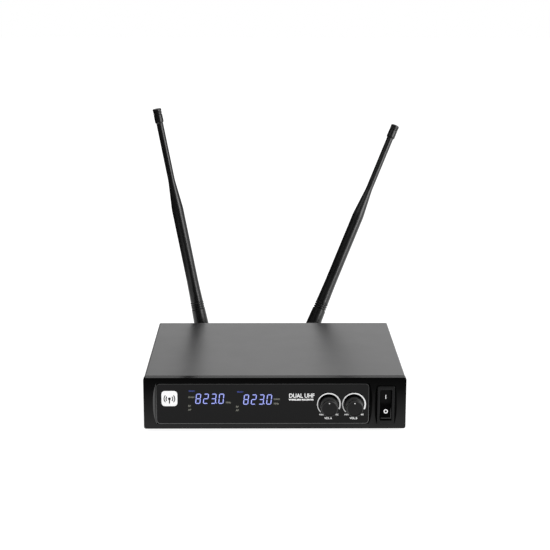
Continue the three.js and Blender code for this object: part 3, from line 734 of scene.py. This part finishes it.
def make_front_panel():
    front, back = FASCIA_Y
    panel = plate("brushed_front_panel", [rectangle(*FASCIA_X, *FASCIA_Z, 2.0)], front, back, bevel=0.45)
    window_x, window_z = (grown(ends, WINDOW_RECESS["gap"]) for ends in (WINDOW_X, WINDOW_Z))
    switch_x, switch_z = (grown(ends, SWITCH_RECESS["gap"]) for ends in (SWITCH_X, SWITCH_Z))
    cutters = [
        scooped_recess("window_recess", window_x, window_z, WINDOW_RECESS),
        scooped_recess("switch_recess", switch_x, switch_z, SWITCH_RECESS),
        block("display_hole", DISPLAY_HOLE["x"], (front, back + 1), DISPLAY_HOLE["z"]),
        block("switch_hole", SWITCH_HOLE["x"], (front - 1, back + 1), SWITCH_HOLE["z"]),
    ]
    for x in KNOB_X.values():
        cutters.append(rod("pot_hole", x, KNOB_Z, 6.4, front, back + 1))
    boolean(panel, cutters, "DIFFERENCE")
    dress(panel, "fascia", ["front_panel"])
    # Painted light: the window recess's left end gets a painted highlight, as if lit from the right, and the other
    # three ends get painted shade.
    scoop_liner("window_scoop_left", WINDOW_X[0], -1, window_z, 2.7, 1.5, "lit_edge")
    scoop_liner("window_scoop_right", WINDOW_X[1], 1, window_z, 2.7, 1.5, "scoop_painted_shade")
    scoop_liner("switch_scoop_left", SWITCH_X[0], -1, switch_z, 2.1, 0.9, "scoop_painted_shade")
    scoop_liner("switch_scoop_right", SWITCH_X[1], 1, switch_z, 2.1, 0.9, "scoop_painted_shade")


def make_window():
    front, back = WINDOW_Y
    outline = rectangle(*WINDOW_X, *WINDOW_Z, 3.5, 10)
    holes = [circle(x, KNOB_Z, 4.0) for x in KNOB_X.values()]
    window = plate("smoked_window", [outline, *holes], front, back, bevel=0.4, rounding=2)
    dress(window, "window", ["display_window"])
    # A thin rim round the window's outline carries a painted highlight.
    inner = rectangle(*grown(WINDOW_X, -0.4), *grown(WINDOW_Z, -0.4), 3.1, 10)
    edge = plate("window_edge_highlight", [outline, inner], front - 0.02, front + 0.6, bevel=0.15)
    dress(edge, "window", finish="window_edge_highlight")


# -------------------- printing and display

DIGITS = {"0": "abcdef", "2": "abged", "3": "abgcd", "8": "abcdefg"}
DISPLAY = {"a": {"x": -61.8, "z": 21.4}, "b": {"x": -23.2, "z": 20.7}}
DIGIT = {"width": 4.0, "height": 8.4, "pitch": 6.2, "stroke": 0.56, "slant": 0.11, "gap": 0.14}
HALO = 0.6


def segment(start, end, stroke):
    """A seven-segment bar with pointed ends between two corners of the digit."""
    half = stroke / 2
    gap = DIGIT["gap"]
    a, b = Vector(start), Vector(end)
    along = (b - a).normalized()
    across = Vector((-along.y, along.x)) * half
    a, b = a + along * gap, b - along * gap
    inner = along * half
    points = (a, a + inner - across, b - inner - across, b, b - inner + across, a + inner + across)
    return [tuple(point) for point in points]


def digit_bars(character, stroke):
    width = DIGIT["width"] - DIGIT["stroke"]
    height = DIGIT["height"] - DIGIT["stroke"]
    x0, x1 = -width / 2, width / 2
    z0, z1, z2 = 0, height / 2, height
    bars = {
        "a": ((x0, z2), (x1, z2)),
        "b": ((x1, z1), (x1, z2)),
        "c": ((x1, z0), (x1, z1)),
        "d": ((x0, z0), (x1, z0)),
        "e": ((x0, z0), (x0, z1)),
        "f": ((x0, z1), (x0, z2)),
        "g": ((x0, z1), (x1, z1)),
    }
    return [segment(*bars[letter], stroke) for letter in DIGITS[character]]


def make_digits():
    """Lit bars in front of a slightly wider dim blue glow."""
    stroke, pitch, slant = DIGIT["stroke"], DIGIT["pitch"], DIGIT["slant"]
    halo = stroke + HALO
    layers = (("display_digits", stroke, 0.03, "lit_blue"), ("display_halo", halo, 0.01, "blue_halo"))
    for letter, place in DISPLAY.items():
        for name, width, proud, material in layers:
            depth = (PRINT_Y - proud, PRINT_Y + 0.02)
            bars = []
            for index, character in enumerate("8230"):
                x = place["x"] + pitch * index
                z = place["z"] + stroke / 2
                for bar in digit_bars(character, width):
                    outline = [(x + px + (pz - 4) * slant, z + pz) for px, pz in bar]
                    bars.append(plate("bar", [outline], *depth))
            # The decimal point stands between the third digit and the fourth.
            point = circle(place["x"] + pitch * 2.5 - 0.9, place["z"] + 0.6, width * 0.5, 16)
            bars.append(plate("point", [point], *depth))
            dress(joined(f"{name}_{letter}", bars), "display_glow", finish=material)


# Each label has its piece, words, lower left corner, height, finish, and the width it is fitted to, if any.
LABELS = (
    ("blue_label_a", "READY", -69.4, 31.5, 1.15, "lit_label", None),
    ("channel_label_a", "CHAN", -69.9, 26.3, 1.25, "grey_print", None),
    ("unit_label_a", "MHz", -39.6, 21.7, 1.5, "grey_print", None),
    ("radio_label_a", "RF", -70.0, 18.8, 1.5, "grey_print", None),
    ("audio_label_a", "AF", -70.0, 15.6, 1.5, "grey_print", None),
    ("blue_label_b", "READY", -30.4, 30.8, 1.15, "lit_label", None),
    ("radio_label_b", "RF", -31.5, 18.1, 1.5, "grey_print", None),
    ("audio_label_b", "AF", -31.5, 15.1, 1.5, "grey_print", None),
    ("channel_label_b", "CHAN", -1.0, 24.6, 1.25, "grey_print", None),
    ("unit_label_b", "MHz", -0.9, 20.7, 1.5, "grey_print", None),
    ("name_print", "DUAL UHF", 11.2, 26.4, 3.6, "white_print", 20.4),
    ("kind_print", "WIRELESS RECEIVER", 11.2, 24.1, 1.3, "white_print", 20.4),
    ("least_label_a", "MIN", 35.9, 11.4, 1.35, "white_print", None),
    ("most_label_a", "MAX", 49.1, 11.4, 1.35, "white_print", 2.4),
    ("least_label_b", "MIN", 56.2, 11.4, 1.35, "white_print", None),
    ("most_label_b", "MAX", 69.4, 11.4, 1.35, "white_print", 2.4),
    ("volume_label_a", "VOL A", 40.2, 8.2, 1.6, "white_print", 6.2),
    ("volume_label_b", "VOL B", 60.6, 8.2, 1.6, "white_print", 6.2),
)


def make_labels():
    for name, text, x, z, size, material, width in LABELS:
        bold = 0.09 if width or material == "grey_print" else 0.05
        label = lettering(name, text, x, z, size, PRINT_Y, bold)
        if width:
            places = [vertex.co.x for vertex in label.data.vertices]
            low = min(places)
            fitted = Matrix.Diagonal((width * MM / (max(places) - low), 1, 1, 1))
            label.data.transform(Matrix.Translation((low, 0, 0)) @ fitted @ Matrix.Translation((-low, 0, 0)))
        slot = "display_glow" if material == "lit_label" else "white_print"
        dress(label, slot, finish=material)


ARC = {"radius": 9.15, "first": 225, "last": -26, "width": 0.65, "widening": 0.6, "count": 72}


def make_volume_arcs():
    """Printed arcs round the knobs that widen from the low end to the high end."""
    first, last = math.radians(ARC["first"]), math.radians(ARC["last"])
    ways = [i / ARC["count"] for i in range(ARC["count"] + 1)]
    angles = [first + (last - first) * t for t in ways]
    widths = [ARC["width"] + ARC["widening"] * t for t in ways]
    for letter, x in KNOB_X.items():
        outline = arc_band(x, KNOB_Z, ARC["radius"], angles, widths)
        arc = plate(f"volume_arc_{letter}", [outline], PRINT_Y - 0.02, PRINT_Y + 0.02)
        dress(arc, "white_print")


def make_badge():
    """A plain white badge with a mast and two waves to each side."""
    x, z = -85.0, 25.8
    top = z - 0.2
    outline = rectangle(*about(x, 6.4), *about(z, 6.4), 3.2, 8)
    badge = plate("badge", [outline], PRINT_Y - 0.03, PRINT_Y + 0.02)
    dress(badge, "white_print")
    marks = [rectangle(*about(x, 0.45), z - 4.2, z - 0.4), circle(x, top, 1.15, 24)]
    for radius in (2.7, 4.3):
        for middle in (0, math.pi):
            angles = [middle + math.radians(42) * (i / 10 - 1) for i in range(21)]
            marks.append(arc_band(x, top, radius, angles, [0.8] * len(angles)))
    marks = [plate("mark", [mark], PRINT_Y - 0.05, PRINT_Y) for mark in marks]
    dress(joined("badge_waves", marks), "window")


# -------------------- knobs and switch


def make_knobs():
    for letter, x in KNOB_X.items():
        node = f"volume_knob_{letter}"
        body = f"volume_control_{letter}"
        front, back = span_mm(node, "Y")
        axis = axis_y(x, KNOB_Z)
        profile = [(3.3, back), (7.1, back), (7.05, back - 1.2), (6.75, front + 0.6), (6.2, front)]
        profile += [(5.7, front + 0.28), (0, front + 0.32)]
        profile = filleted(profile, [0, 0.3, 0.3, 0.5, 0.35, 0.3, 0], 5, closed=False)
        hub = [(0, back - 8), (3.3, back - 8), (3.3, back)]
        knob = turned(f"moulded_knob_{letter}", [*hub, *profile[1:]], axis, 96)
        dress(knob, "knob", [node], body=body)
        ring = circle(6.33, front + 0.46, 0.42, 20)
        dress(turned(f"knob_rim_{letter}", [*ring, ring[0]], axis, 96), "knob", finish="knob_rim", body=body)
        dot = rod(f"knob_mark_{letter}", x, KNOB_Z + 4.4, 0.42, front + 0.24, front + 0.4, 20)
        dress(dot, "white_print", body=body)


def make_switch_housing():
    x, z = middle_mm("power_switch_housing")
    seat = FASCIA_Y[0] + SWITCH_RECESS["floor"]
    opening = rectangle(*about(x, 4.7), *about(z, 12.7), 0.5, 3)
    body = rectangle(*about(x, 5.9), *about(z, 14), 0.8, 3)
    rim = rectangle(*SWITCH_X, *SWITCH_Z, 1.3)
    parts = [
        plate("bezel", [rim, opening], SWITCH_Y[0], seat - 0.05, bevel=0.5),
        plate("well", [body, opening], seat - 0.1, seat + 13),
        plate("floor", [body], seat + 12.9, seat + 17.4, bevel=0.3),
    ]
    for offset in (-9, 0, 9):
        ends = (seat + 17.3, seat + 25.4)
        parts.append(block("blade", about(x, 2.4), ends, about(z + offset, 0.4), 0.15))
    dress(joined("switch_bezel", parts), "black_plastic", ["power_switch_housing"], "bezel")


def make_rocker():
    joint = JOINTS["power_rocker_tilt"]
    rest_tilt = -math.radians(joint["range_deg"][1]) / 2
    place = Matrix.Translation(Vector(joint["pos_m"])) @ Matrix.Rotation(rest_tilt, 4, "X")
    half_height, half_width = 12.1, 4.4
    hollow, rise = 2.9, 1.7

    def face(t):
        return -(hollow + rise * abs(t) ** 1.25)

    front = [(face(i / 12 - 1), half_height * (i / 12 - 1)) for i in range(25)]
    side = [*front, (2.2, half_height), (6, 3), (6, -3), (2.2, -half_height)]
    rings = [[(x, y, z) for y, z in side] for x in (-half_width, half_width)]
    rocker = softened(lofted("switch_lever", rings, place), 0.4, 3)
    dress(rocker, "black_plastic", ["power_switch_rocker"], "rocker", body="power_rocker")

    def on_face(level):
        slope = math.copysign(math.atan2(rise, half_height) * 1.15, level)
        return place @ shift(0, face(level / half_height), level) @ Matrix.Rotation(slope, 4, "X")

    def mark(name, outlines, level):
        return plate(name, outlines, -0.06, 0.1, place=on_face(level))

    bar = mark("rocker_on_mark", [rectangle(*about(0, 0.28), *about(0, 1.7), 0.2, 3)], 5.6)
    dress(bar, "white_print", body="power_rocker")
    ring = mark("rocker_off_mark", [circle(0, 0, 1.72), circle(0, 0, 0.98)], -6.1)
    dress(ring, "white_print", body="power_rocker")
    # Painted highlights along the rocker's right edge and its lower edge.
    lines = (rectangle(3.85, 4.15, -5.3, 5.3), rectangle(-4.0, 4.15, -5.6, -5.25))
    lines = [plate("line", [line], -0.05, 0.1, place=on_face(-6.1)) for line in lines]
    dress(joined("rocker_edge_highlights", lines), "black_plastic", finish="lit_edge", body="power_rocker")


# -------------------- rear sockets

REAR = span_mm("chassis_tray", "Y")[1]
OUTPUT_SCREWS = ((-9.8, 12.2), (9.8, -12.2))
OUTPUT_PINS = ((-3.8, 1.6), (3.8, 1.6), (0, -3.7))


def hexagon_nut(name, x, z, across, bore, y0, y1):
    """A six-sided nut with chamfered corners."""
    radius = across / 2 / math.cos(math.pi / 6)
    nut = plate(name, [circle(x, z, radius, 6), circle(x, z, bore, 40)], y0, y1)
    cone = [(0, y0 - 1), (radius + 1, y0 - 1), (radius + 1, y0), (radius + 0.4, y1 - 1)]
    cone += [(radius - 0.9, y1 + 0.4), (0, y1 + 0.4)]
    return boolean(nut, [turned("cone", cone, axis_y(x, z), 64)], "INTERSECT")


def make_antenna_sockets():
    for letter in "ab":
        node = f"antenna_socket_{letter}"
        x, z = middle_mm(node)
        thread = [(0, REAR + 1), (4.1, REAR + 1), (4.1, REAR + 12.8), (4.3, REAR + 13), (4.8, REAR + 13)]
        y = REAR + 4.6
        while y > REAR + 0.2:
            thread += [(4.8, y), (4.55, y - 0.25)]
            y -= 0.5
        thread += [(4.8, REAR), (4.8, REAR - 1.3), (7, REAR - 1.3), (7, REAR - 3.2), (4.5, REAR - 3.2)]
        thread += [(4.5, REAR - 9.2), (0, REAR - 9.2)]
        sideways = shift(x, REAR + 10, z) @ rotation("Y", 90)
        parts = [
            turned("barrel", thread, axis_y(x, z), 48),
            turned("lugs", rod_profile(0.95, -5.7, 5.7), sideways, 20),
            rod("insulator", x, z, 2.2, REAR + 0.9, REAR + 3, 32),
        ]
        dress(joined(f"bayonet_socket_{letter}", parts), "nickel", [node])
        nut_node = f"antenna_socket_nut_{letter}"
        nut = hexagon_nut(f"panel_nut_{letter}", x, z, 14, 4.85, *span_mm(nut_node, "Y"))
        dress(nut, "nickel", [nut_node])


def make_output_sockets():
    for letter in "ab":
        node, insert_node = f"xlr_socket_{letter}", f"xlr_contacts_{letter}"
        x, z = middle_mm(node)
        x_ends, y_ends, z_ends = box_mm(node)
        front = y_ends[1]
        axis = axis_y(x, z)
        holes = [circle(x + dx, z + dz, 1.6, 24) for dx, dz in OUTPUT_SCREWS]
        outlines = [rectangle(*x_ends, *z_ends, 3.2), circle(x, z, 9.35, 64), *holes]
        lip = [(9.3, REAR + 0.2), (9.3, front - 0.25), (9.5, front), (10.6, front), (10.9, front - 0.3)]
        lip += [(10.9, REAR + 0.2), lip[0]]
        tube = [(9.3, REAR - 13), (9.3, REAR + 0.3), (11.6, REAR + 0.3), (11.6, REAR - 17)]
        tube += [(0, REAR - 17), (0, REAR - 13), tube[0]]
        parts = [
            plate("flange", outlines, REAR + 0.1, front, bevel=0.35),
            turned("rim", lip, axis, 64),
            turned("shell", tube, axis, 64),
            block("key", about(x, 1.2), (REAR - 12.8, REAR + 1.4), (z - 9.6, z - 8.1), 0.3),
        ]
        dress(joined(f"three_pin_output_{letter}", parts), "black_plastic", [node])
        floor, tip = span_mm(insert_node, "Y")
        carrier = rod_profile(8.9, floor, floor + 2.4)
        disc = turned(f"contact_carrier_{letter}", carrier, axis, 48, 0.2, 3)
        dress(disc, "black_plastic")
        pin = [(0, floor), (1.2, floor), (1.2, tip - 0.7), (0.7, tip), (0, tip)]
        pins = [turned("pin", pin, axis_y(x + dx, z + dz), 24, 0.4) for dx, dz in OUTPUT_PINS]
        dress(joined(f"contact_pins_{letter}", pins), "brass", [insert_node], "nickel")
        head = [(0, REAR + 0.4), (1.55, REAR + 0.4), (2.6, front - 0.05)]
        head += [(2.6, front + 0.1), (0, front + 0.1)]
        screws = [turned("head", head, axis_y(x + dx, z + dz), 32, 0.1, 2) for dx, dz in OUTPUT_SCREWS]
        dress(joined(f"output_screws_{letter}", screws), "zinc_steel", finish="black_screw")


def make_jack():
    x, z = middle_mm("jack_nut")
    x_ends, y_ends, z_ends = box_mm("jack_socket")
    front = y_ends[1]
    bush = [(3.25, REAR - 20), (3.25, front - 0.3), (3.5, front), (4.4, front), (4.6, front - 0.3)]
    bush += [(4.6, REAR - 1.5), (6.5, REAR - 1.5), (6.5, REAR - 20), (3.25, REAR - 20)]
    outline = rectangle(*x_ends, *z_ends, 0.6, 3)
    parts = [
        turned("bush", bush, axis_y(x, z), 48),
        plate("case", [outline, circle(x, z, 3.3, 40)], REAR - 22, REAR - 1.5),
        plate("back", [outline], REAR - 25, REAR - 22),
    ]
    dress(joined("jack_output", parts), "black_plastic", ["jack_socket"])

    def knurl(angle, height):
        return 1 - 0.025 * (0.5 + 0.5 * math.cos(36 * angle))

    y0, y1 = span_mm("jack_nut", "Y")
    ring = filleted([(4.75, y0), (7, y0), (7, y1), (4.75, y1)], [0, 0.4, 0.5, 0.3], 4)
    nut = turned("knurled_jack_nut", [*ring, ring[0]], axis_y(x, z), 216, wave=knurl)
    dress(nut, "nickel", ["jack_nut"])


def make_dc_inlet():
    x_ends, y_ends, z_ends = box_mm("dc_inlet")
    x, z = sum(x_ends) / 2, z_ends[1] - 5.6
    tip = y_ends[1]
    mouth = [(3.1, REAR - 11), (3.1, tip - 0.3), (3.4, tip), (3.9, tip), (4.1, tip - 0.25), (4.1, REAR - 11)]
    outline = rectangle(*x_ends, *z_ends, 0.5, 3)
    parts = [
        turned("mouth", [*mouth, mouth[0]], axis_y(x, z), 48),
        plate("case", [outline, circle(x, z, 3.15, 40)], REAR - 11.3, REAR - 1.35, bevel=0.2),
        plate("back", [outline], REAR - 13.3, REAR - 11.3),
    ]
    dress(joined("low_voltage_inlet", parts), "black_plastic", ["dc_inlet"])
    profile = [(0, REAR - 12), (1, REAR - 12), (1, REAR - 1), (0.5, REAR - 0.4), (0, REAR - 0.4)]
    pin = turned("inlet_pin", profile, axis_y(x, z), 24, 0.3, 3)
    dress(pin, "nickel")


REAR_LABELS = {
    "ANT A": "antenna_socket_nut_a",
    "OUT A": "xlr_socket_a",
    "OUT B": "xlr_socket_b",
    "ANT B": "antenna_socket_nut_b",
    "MIX OUT": "jack_nut",
    "DC IN": "dc_inlet",
}


def make_rear_labels():
    for text, node in REAR_LABELS.items():
        turn = shift(centre_mm(node, "X"), REAR + 0.01, 0) @ rotation("Z", 180)
        name = "rear_label_" + text.lower().replace(" ", "_")
        label = lettering(name, text, 0, 38.2, 1.7, 0, 0.03, turn, "CENTER")
        dress(label, "white_print")


# -------------------- antennas


def antenna_frames(letter):
    """The swivelled frame at the elbow's pin, and the whip's folded frame, both with Z along the whip."""
    joint = JOINTS[f"antenna_{letter}_fold"]
    axis = Vector(joint["axis"])
    lean = math.atan2(axis.z, -axis.x)
    fold = -math.radians(joint["range_deg"][0])
    swivel = Matrix.Translation(Vector(joint["pos_m"])) @ Matrix.Rotation(lean, 4, "Y")
    return swivel, swivel @ Matrix.Rotation(-fold, 4, "X")


# In an antenna's own frame the elbow's pin is the origin, and this is the receiver's rear panel.
PANEL = REAR - JOINTS["antenna_a_fold"]["pos_m"][1] / MM
LONG_Y = rotation("X", -90)


def make_coupling(letter, place):
    """The bayonet ring: knurled grip and plain nose."""
    y = PANEL
    profile = [(6, y + 3.4), (6, y + 15), (4.7, y + 15), (4.7, y + 17.4), (6.5, y + 17.4), (7.25, y + 16.7)]
    profile += [(7.25, y + 8.4), (6.85, y + 7.9), (6.85, y + 3.6), (6.7, y + 3.4), (6, y + 3.4)]

    def knurl(angle, height):
        if y + 8.3 < height < y + 16.8:
            return 1 - 0.035 * max(0.0, math.cos(30 * angle)) ** 2
        return 1.0

    grip = []
    for point, following in zip(profile, profile[1:]):
        grip.append(point)
        if point[0] > 7.2 and following[0] > 7.2:
            grip += [(7.25, point[1] + (following[1] - point[1]) * k / 4) for k in (1, 2, 3)]
    grip.append(profile[-1])
    collar = turned(f"bayonet_collar_{letter}", grip, place @ LONG_Y, 180, wave=knurl)
    dress(collar, "nickel", [f"antenna_{letter}_collar"], body=f"antenna_{letter}_coupling")


def make_plug(letter, place):
    y = PANEL
    profile = [(0, y + 12), (2.8, y + 12), (2.8, y + 2.2), (3.0, y + 2), (3.6, y + 2), (3.75, y + 2.2)]
    profile += [(3.75, y + 13.3), (5.6, y + 13.3), (5.6, y + 14.7), (4.3, y + 14.7)]
    profile += [(4.3, y + 19), (0, y + 19)]
    plug = turned(f"plug_core_{letter}", profile, place @ LONG_Y, 48)
    dress(plug, "nickel", [f"antenna_{letter}_plug"], body=f"antenna_{letter}_base")


CHEEK = 6.8
TONGUE = 2.6
BOOT = 6.9
JACKET = "antenna_jacket"


def make_elbow(letter, swivel):
    y = PANEL
    boot_end = -CHEEK - 0.4
    profile = [(4.6, y + 17.7), (BOOT - 0.3, y + 17.7), (BOOT, y + 18.2), (BOOT, boot_end), (0, boot_end)]
    profile += [(0, y + 19.4), (4.6, y + 19.4), (4.6, y + 17.7)]
    radii = [0, 0.3, 0.3, 0.6, 0, 0, 0, 0]
    rounded = filleted(profile, radii, 4, closed=False)[:-1]
    boot = turned("boot", rounded + [profile[0]], swivel @ LONG_Y, 64)
    nose = [(6.4 * math.sin(math.pi * i / 24), -6.4 * math.cos(math.pi * i / 24)) for i in range(25)]
    outline = [(boot_end - 0.5, -5.6), *nose, (boot_end - 0.5, 5.6)]
    tongue = plate("tongue", [outline], -TONGUE, TONGUE, bevel=0.3, place=swivel @ rotation("Z", 90))
    elbow = joined(f"elbow_{letter}", [boot, tongue])
    dress(elbow, "black_plastic", [f"antenna_{letter}_elbow"], JACKET, body=f"antenna_{letter}_base")


def ridge_profile(bottom, top, outer, inner, count):
    """Ring ridges between two heights."""
    pitch = (top - bottom) / count
    points = []
    for i in range(count):
        z = bottom + i * pitch
        points += [(inner, z + 0.1 * pitch), (inner, z + 0.3 * pitch)]
        points += [(outer, z + 0.45 * pitch), (outer, z + 0.95 * pitch)]
    return points


def make_sleeve(letter, mast):
    body = f"antenna_{letter}_mast"
    profile = [(0, 2), (6.7, 2), (6.8, 6), (6.75, 12), (6.5, 20), (6.3, 26.1)]
    profile += ridge_profile(26.3, 32.7, 6.15, 5.35, 3)
    profile += [(5.9, 32.8), (3.3, 32.8), (3.3, 18.8), (0, 18.8)]
    radii = [0, 0, 3, 3, 3, 0.2] + [0.15] * 13 + [0, 0, 0]
    sleeve = turned("sleeve", profile, mast, 72, radii, 3)
    across = mast @ rotation("Y", 90)
    cheeks = turned("cheeks", rod_profile(6.75, -6.6, 6.6), across, 64, [0, 0.5, 0.5, 0])
    boolean(sleeve, [cheeks], "UNION")
    slot = block("slot", about(0, TONGUE + 0.3), (-9, 9), (-9, 7.2), place=mast)
    boolean(sleeve, [slot], "DIFFERENCE")
    softened(sleeve, 0.25, 2, 55)
    sleeve.name = f"base_sleeve_{letter}"
    dress(sleeve, JACKET, [f"antenna_{letter}_base_sleeve"], body=body)
    pin_profile = rod_profile(1.7, -6.65, 6.65)
    pin = turned(f"elbow_pin_{letter}", pin_profile, across, 32, [0, 0.35, 0.35, 0], 3)
    dress(pin, "zinc_steel", [f"antenna_{letter}_hinge_pin"], body=body)


def make_whip(letter, mast):
    body = f"antenna_{letter}_mast"
    profile = [(0, 19.4), (3, 19.4), (3, 33), (5.85, 33), (5.85, 34.5), (5.6, 43), (5.4, 54), (5.4, 122.5)]
    profile += [(5.3, 125), (3.25, 149.5), (3.15, 152.5), (3.15, 204.5), (1.7, 204.5), (1.7, 212), (0, 212)]
    radii = [0, 0, 0, 0.2, 0.2, 20, 30, 3, 3, 3, 3, 0, 0, 0, 0]
    whip = turned(f"whip_{letter}_moulding", profile, mast, 64, radii, 6, smooth_below=40)
    dress(whip, JACKET, [f"antenna_{letter}_whip"], body=body)
    low, high = 204.8, 218.2
    cap = [(0, low + 8.3), (2, low + 8.3), (2, low), (3.5, low), (4.0, low + 1.2), (3.95, high - 5.6)]
    cap += ridge_profile(high - 5.4, high - 1.4, 4.0, 3.4, 3)
    cap += [(4.0, high - 1.3), (4.0, high - 0.5), (3.2, high), (0, high)]
    radii = [0, 0, 0.1, 0.3, 0.5] + [0.1] * 14 + [0.4, 0.5, 0]
    tip = turned(f"tip_cap_{letter}", cap, mast, 56, radii)
    dress(tip, JACKET, [f"antenna_{letter}_tip_cap"], body=body)


def make_antennas():
    for letter in "ab":
        swivel, mast = antenna_frames(letter)
        upright = Matrix.Translation(swivel.translation)
        make_coupling(letter, upright)
        make_plug(letter, swivel)
        make_elbow(letter, swivel)
        make_sleeve(letter, mast)
        make_whip(letter, mast)


# -------------------- assembly


def dress_cad_nodes():
    """Every CAD node that stays in view gets the material of its slot."""
    for entry in frame["record"]["subparts"]:
        materials = frame["nodes"][entry["node"]].data.materials
        materials.clear()
        materials.append(MATERIALS[entry["material_slot"]])


add_camera()
add_stage()
add_lights()
dress_cad_nodes()
make_cover()
make_cover_screws()
make_feet()
make_front_panel()
make_window()
make_digits()
make_labels()
make_volume_arcs()
make_badge()
make_knobs()
make_switch_housing()
make_rocker()
make_antenna_sockets()
make_output_sockets()
make_jack()
make_dc_inlet()
make_rear_labels()
make_antennas()

bpy.context.view_layer.update()
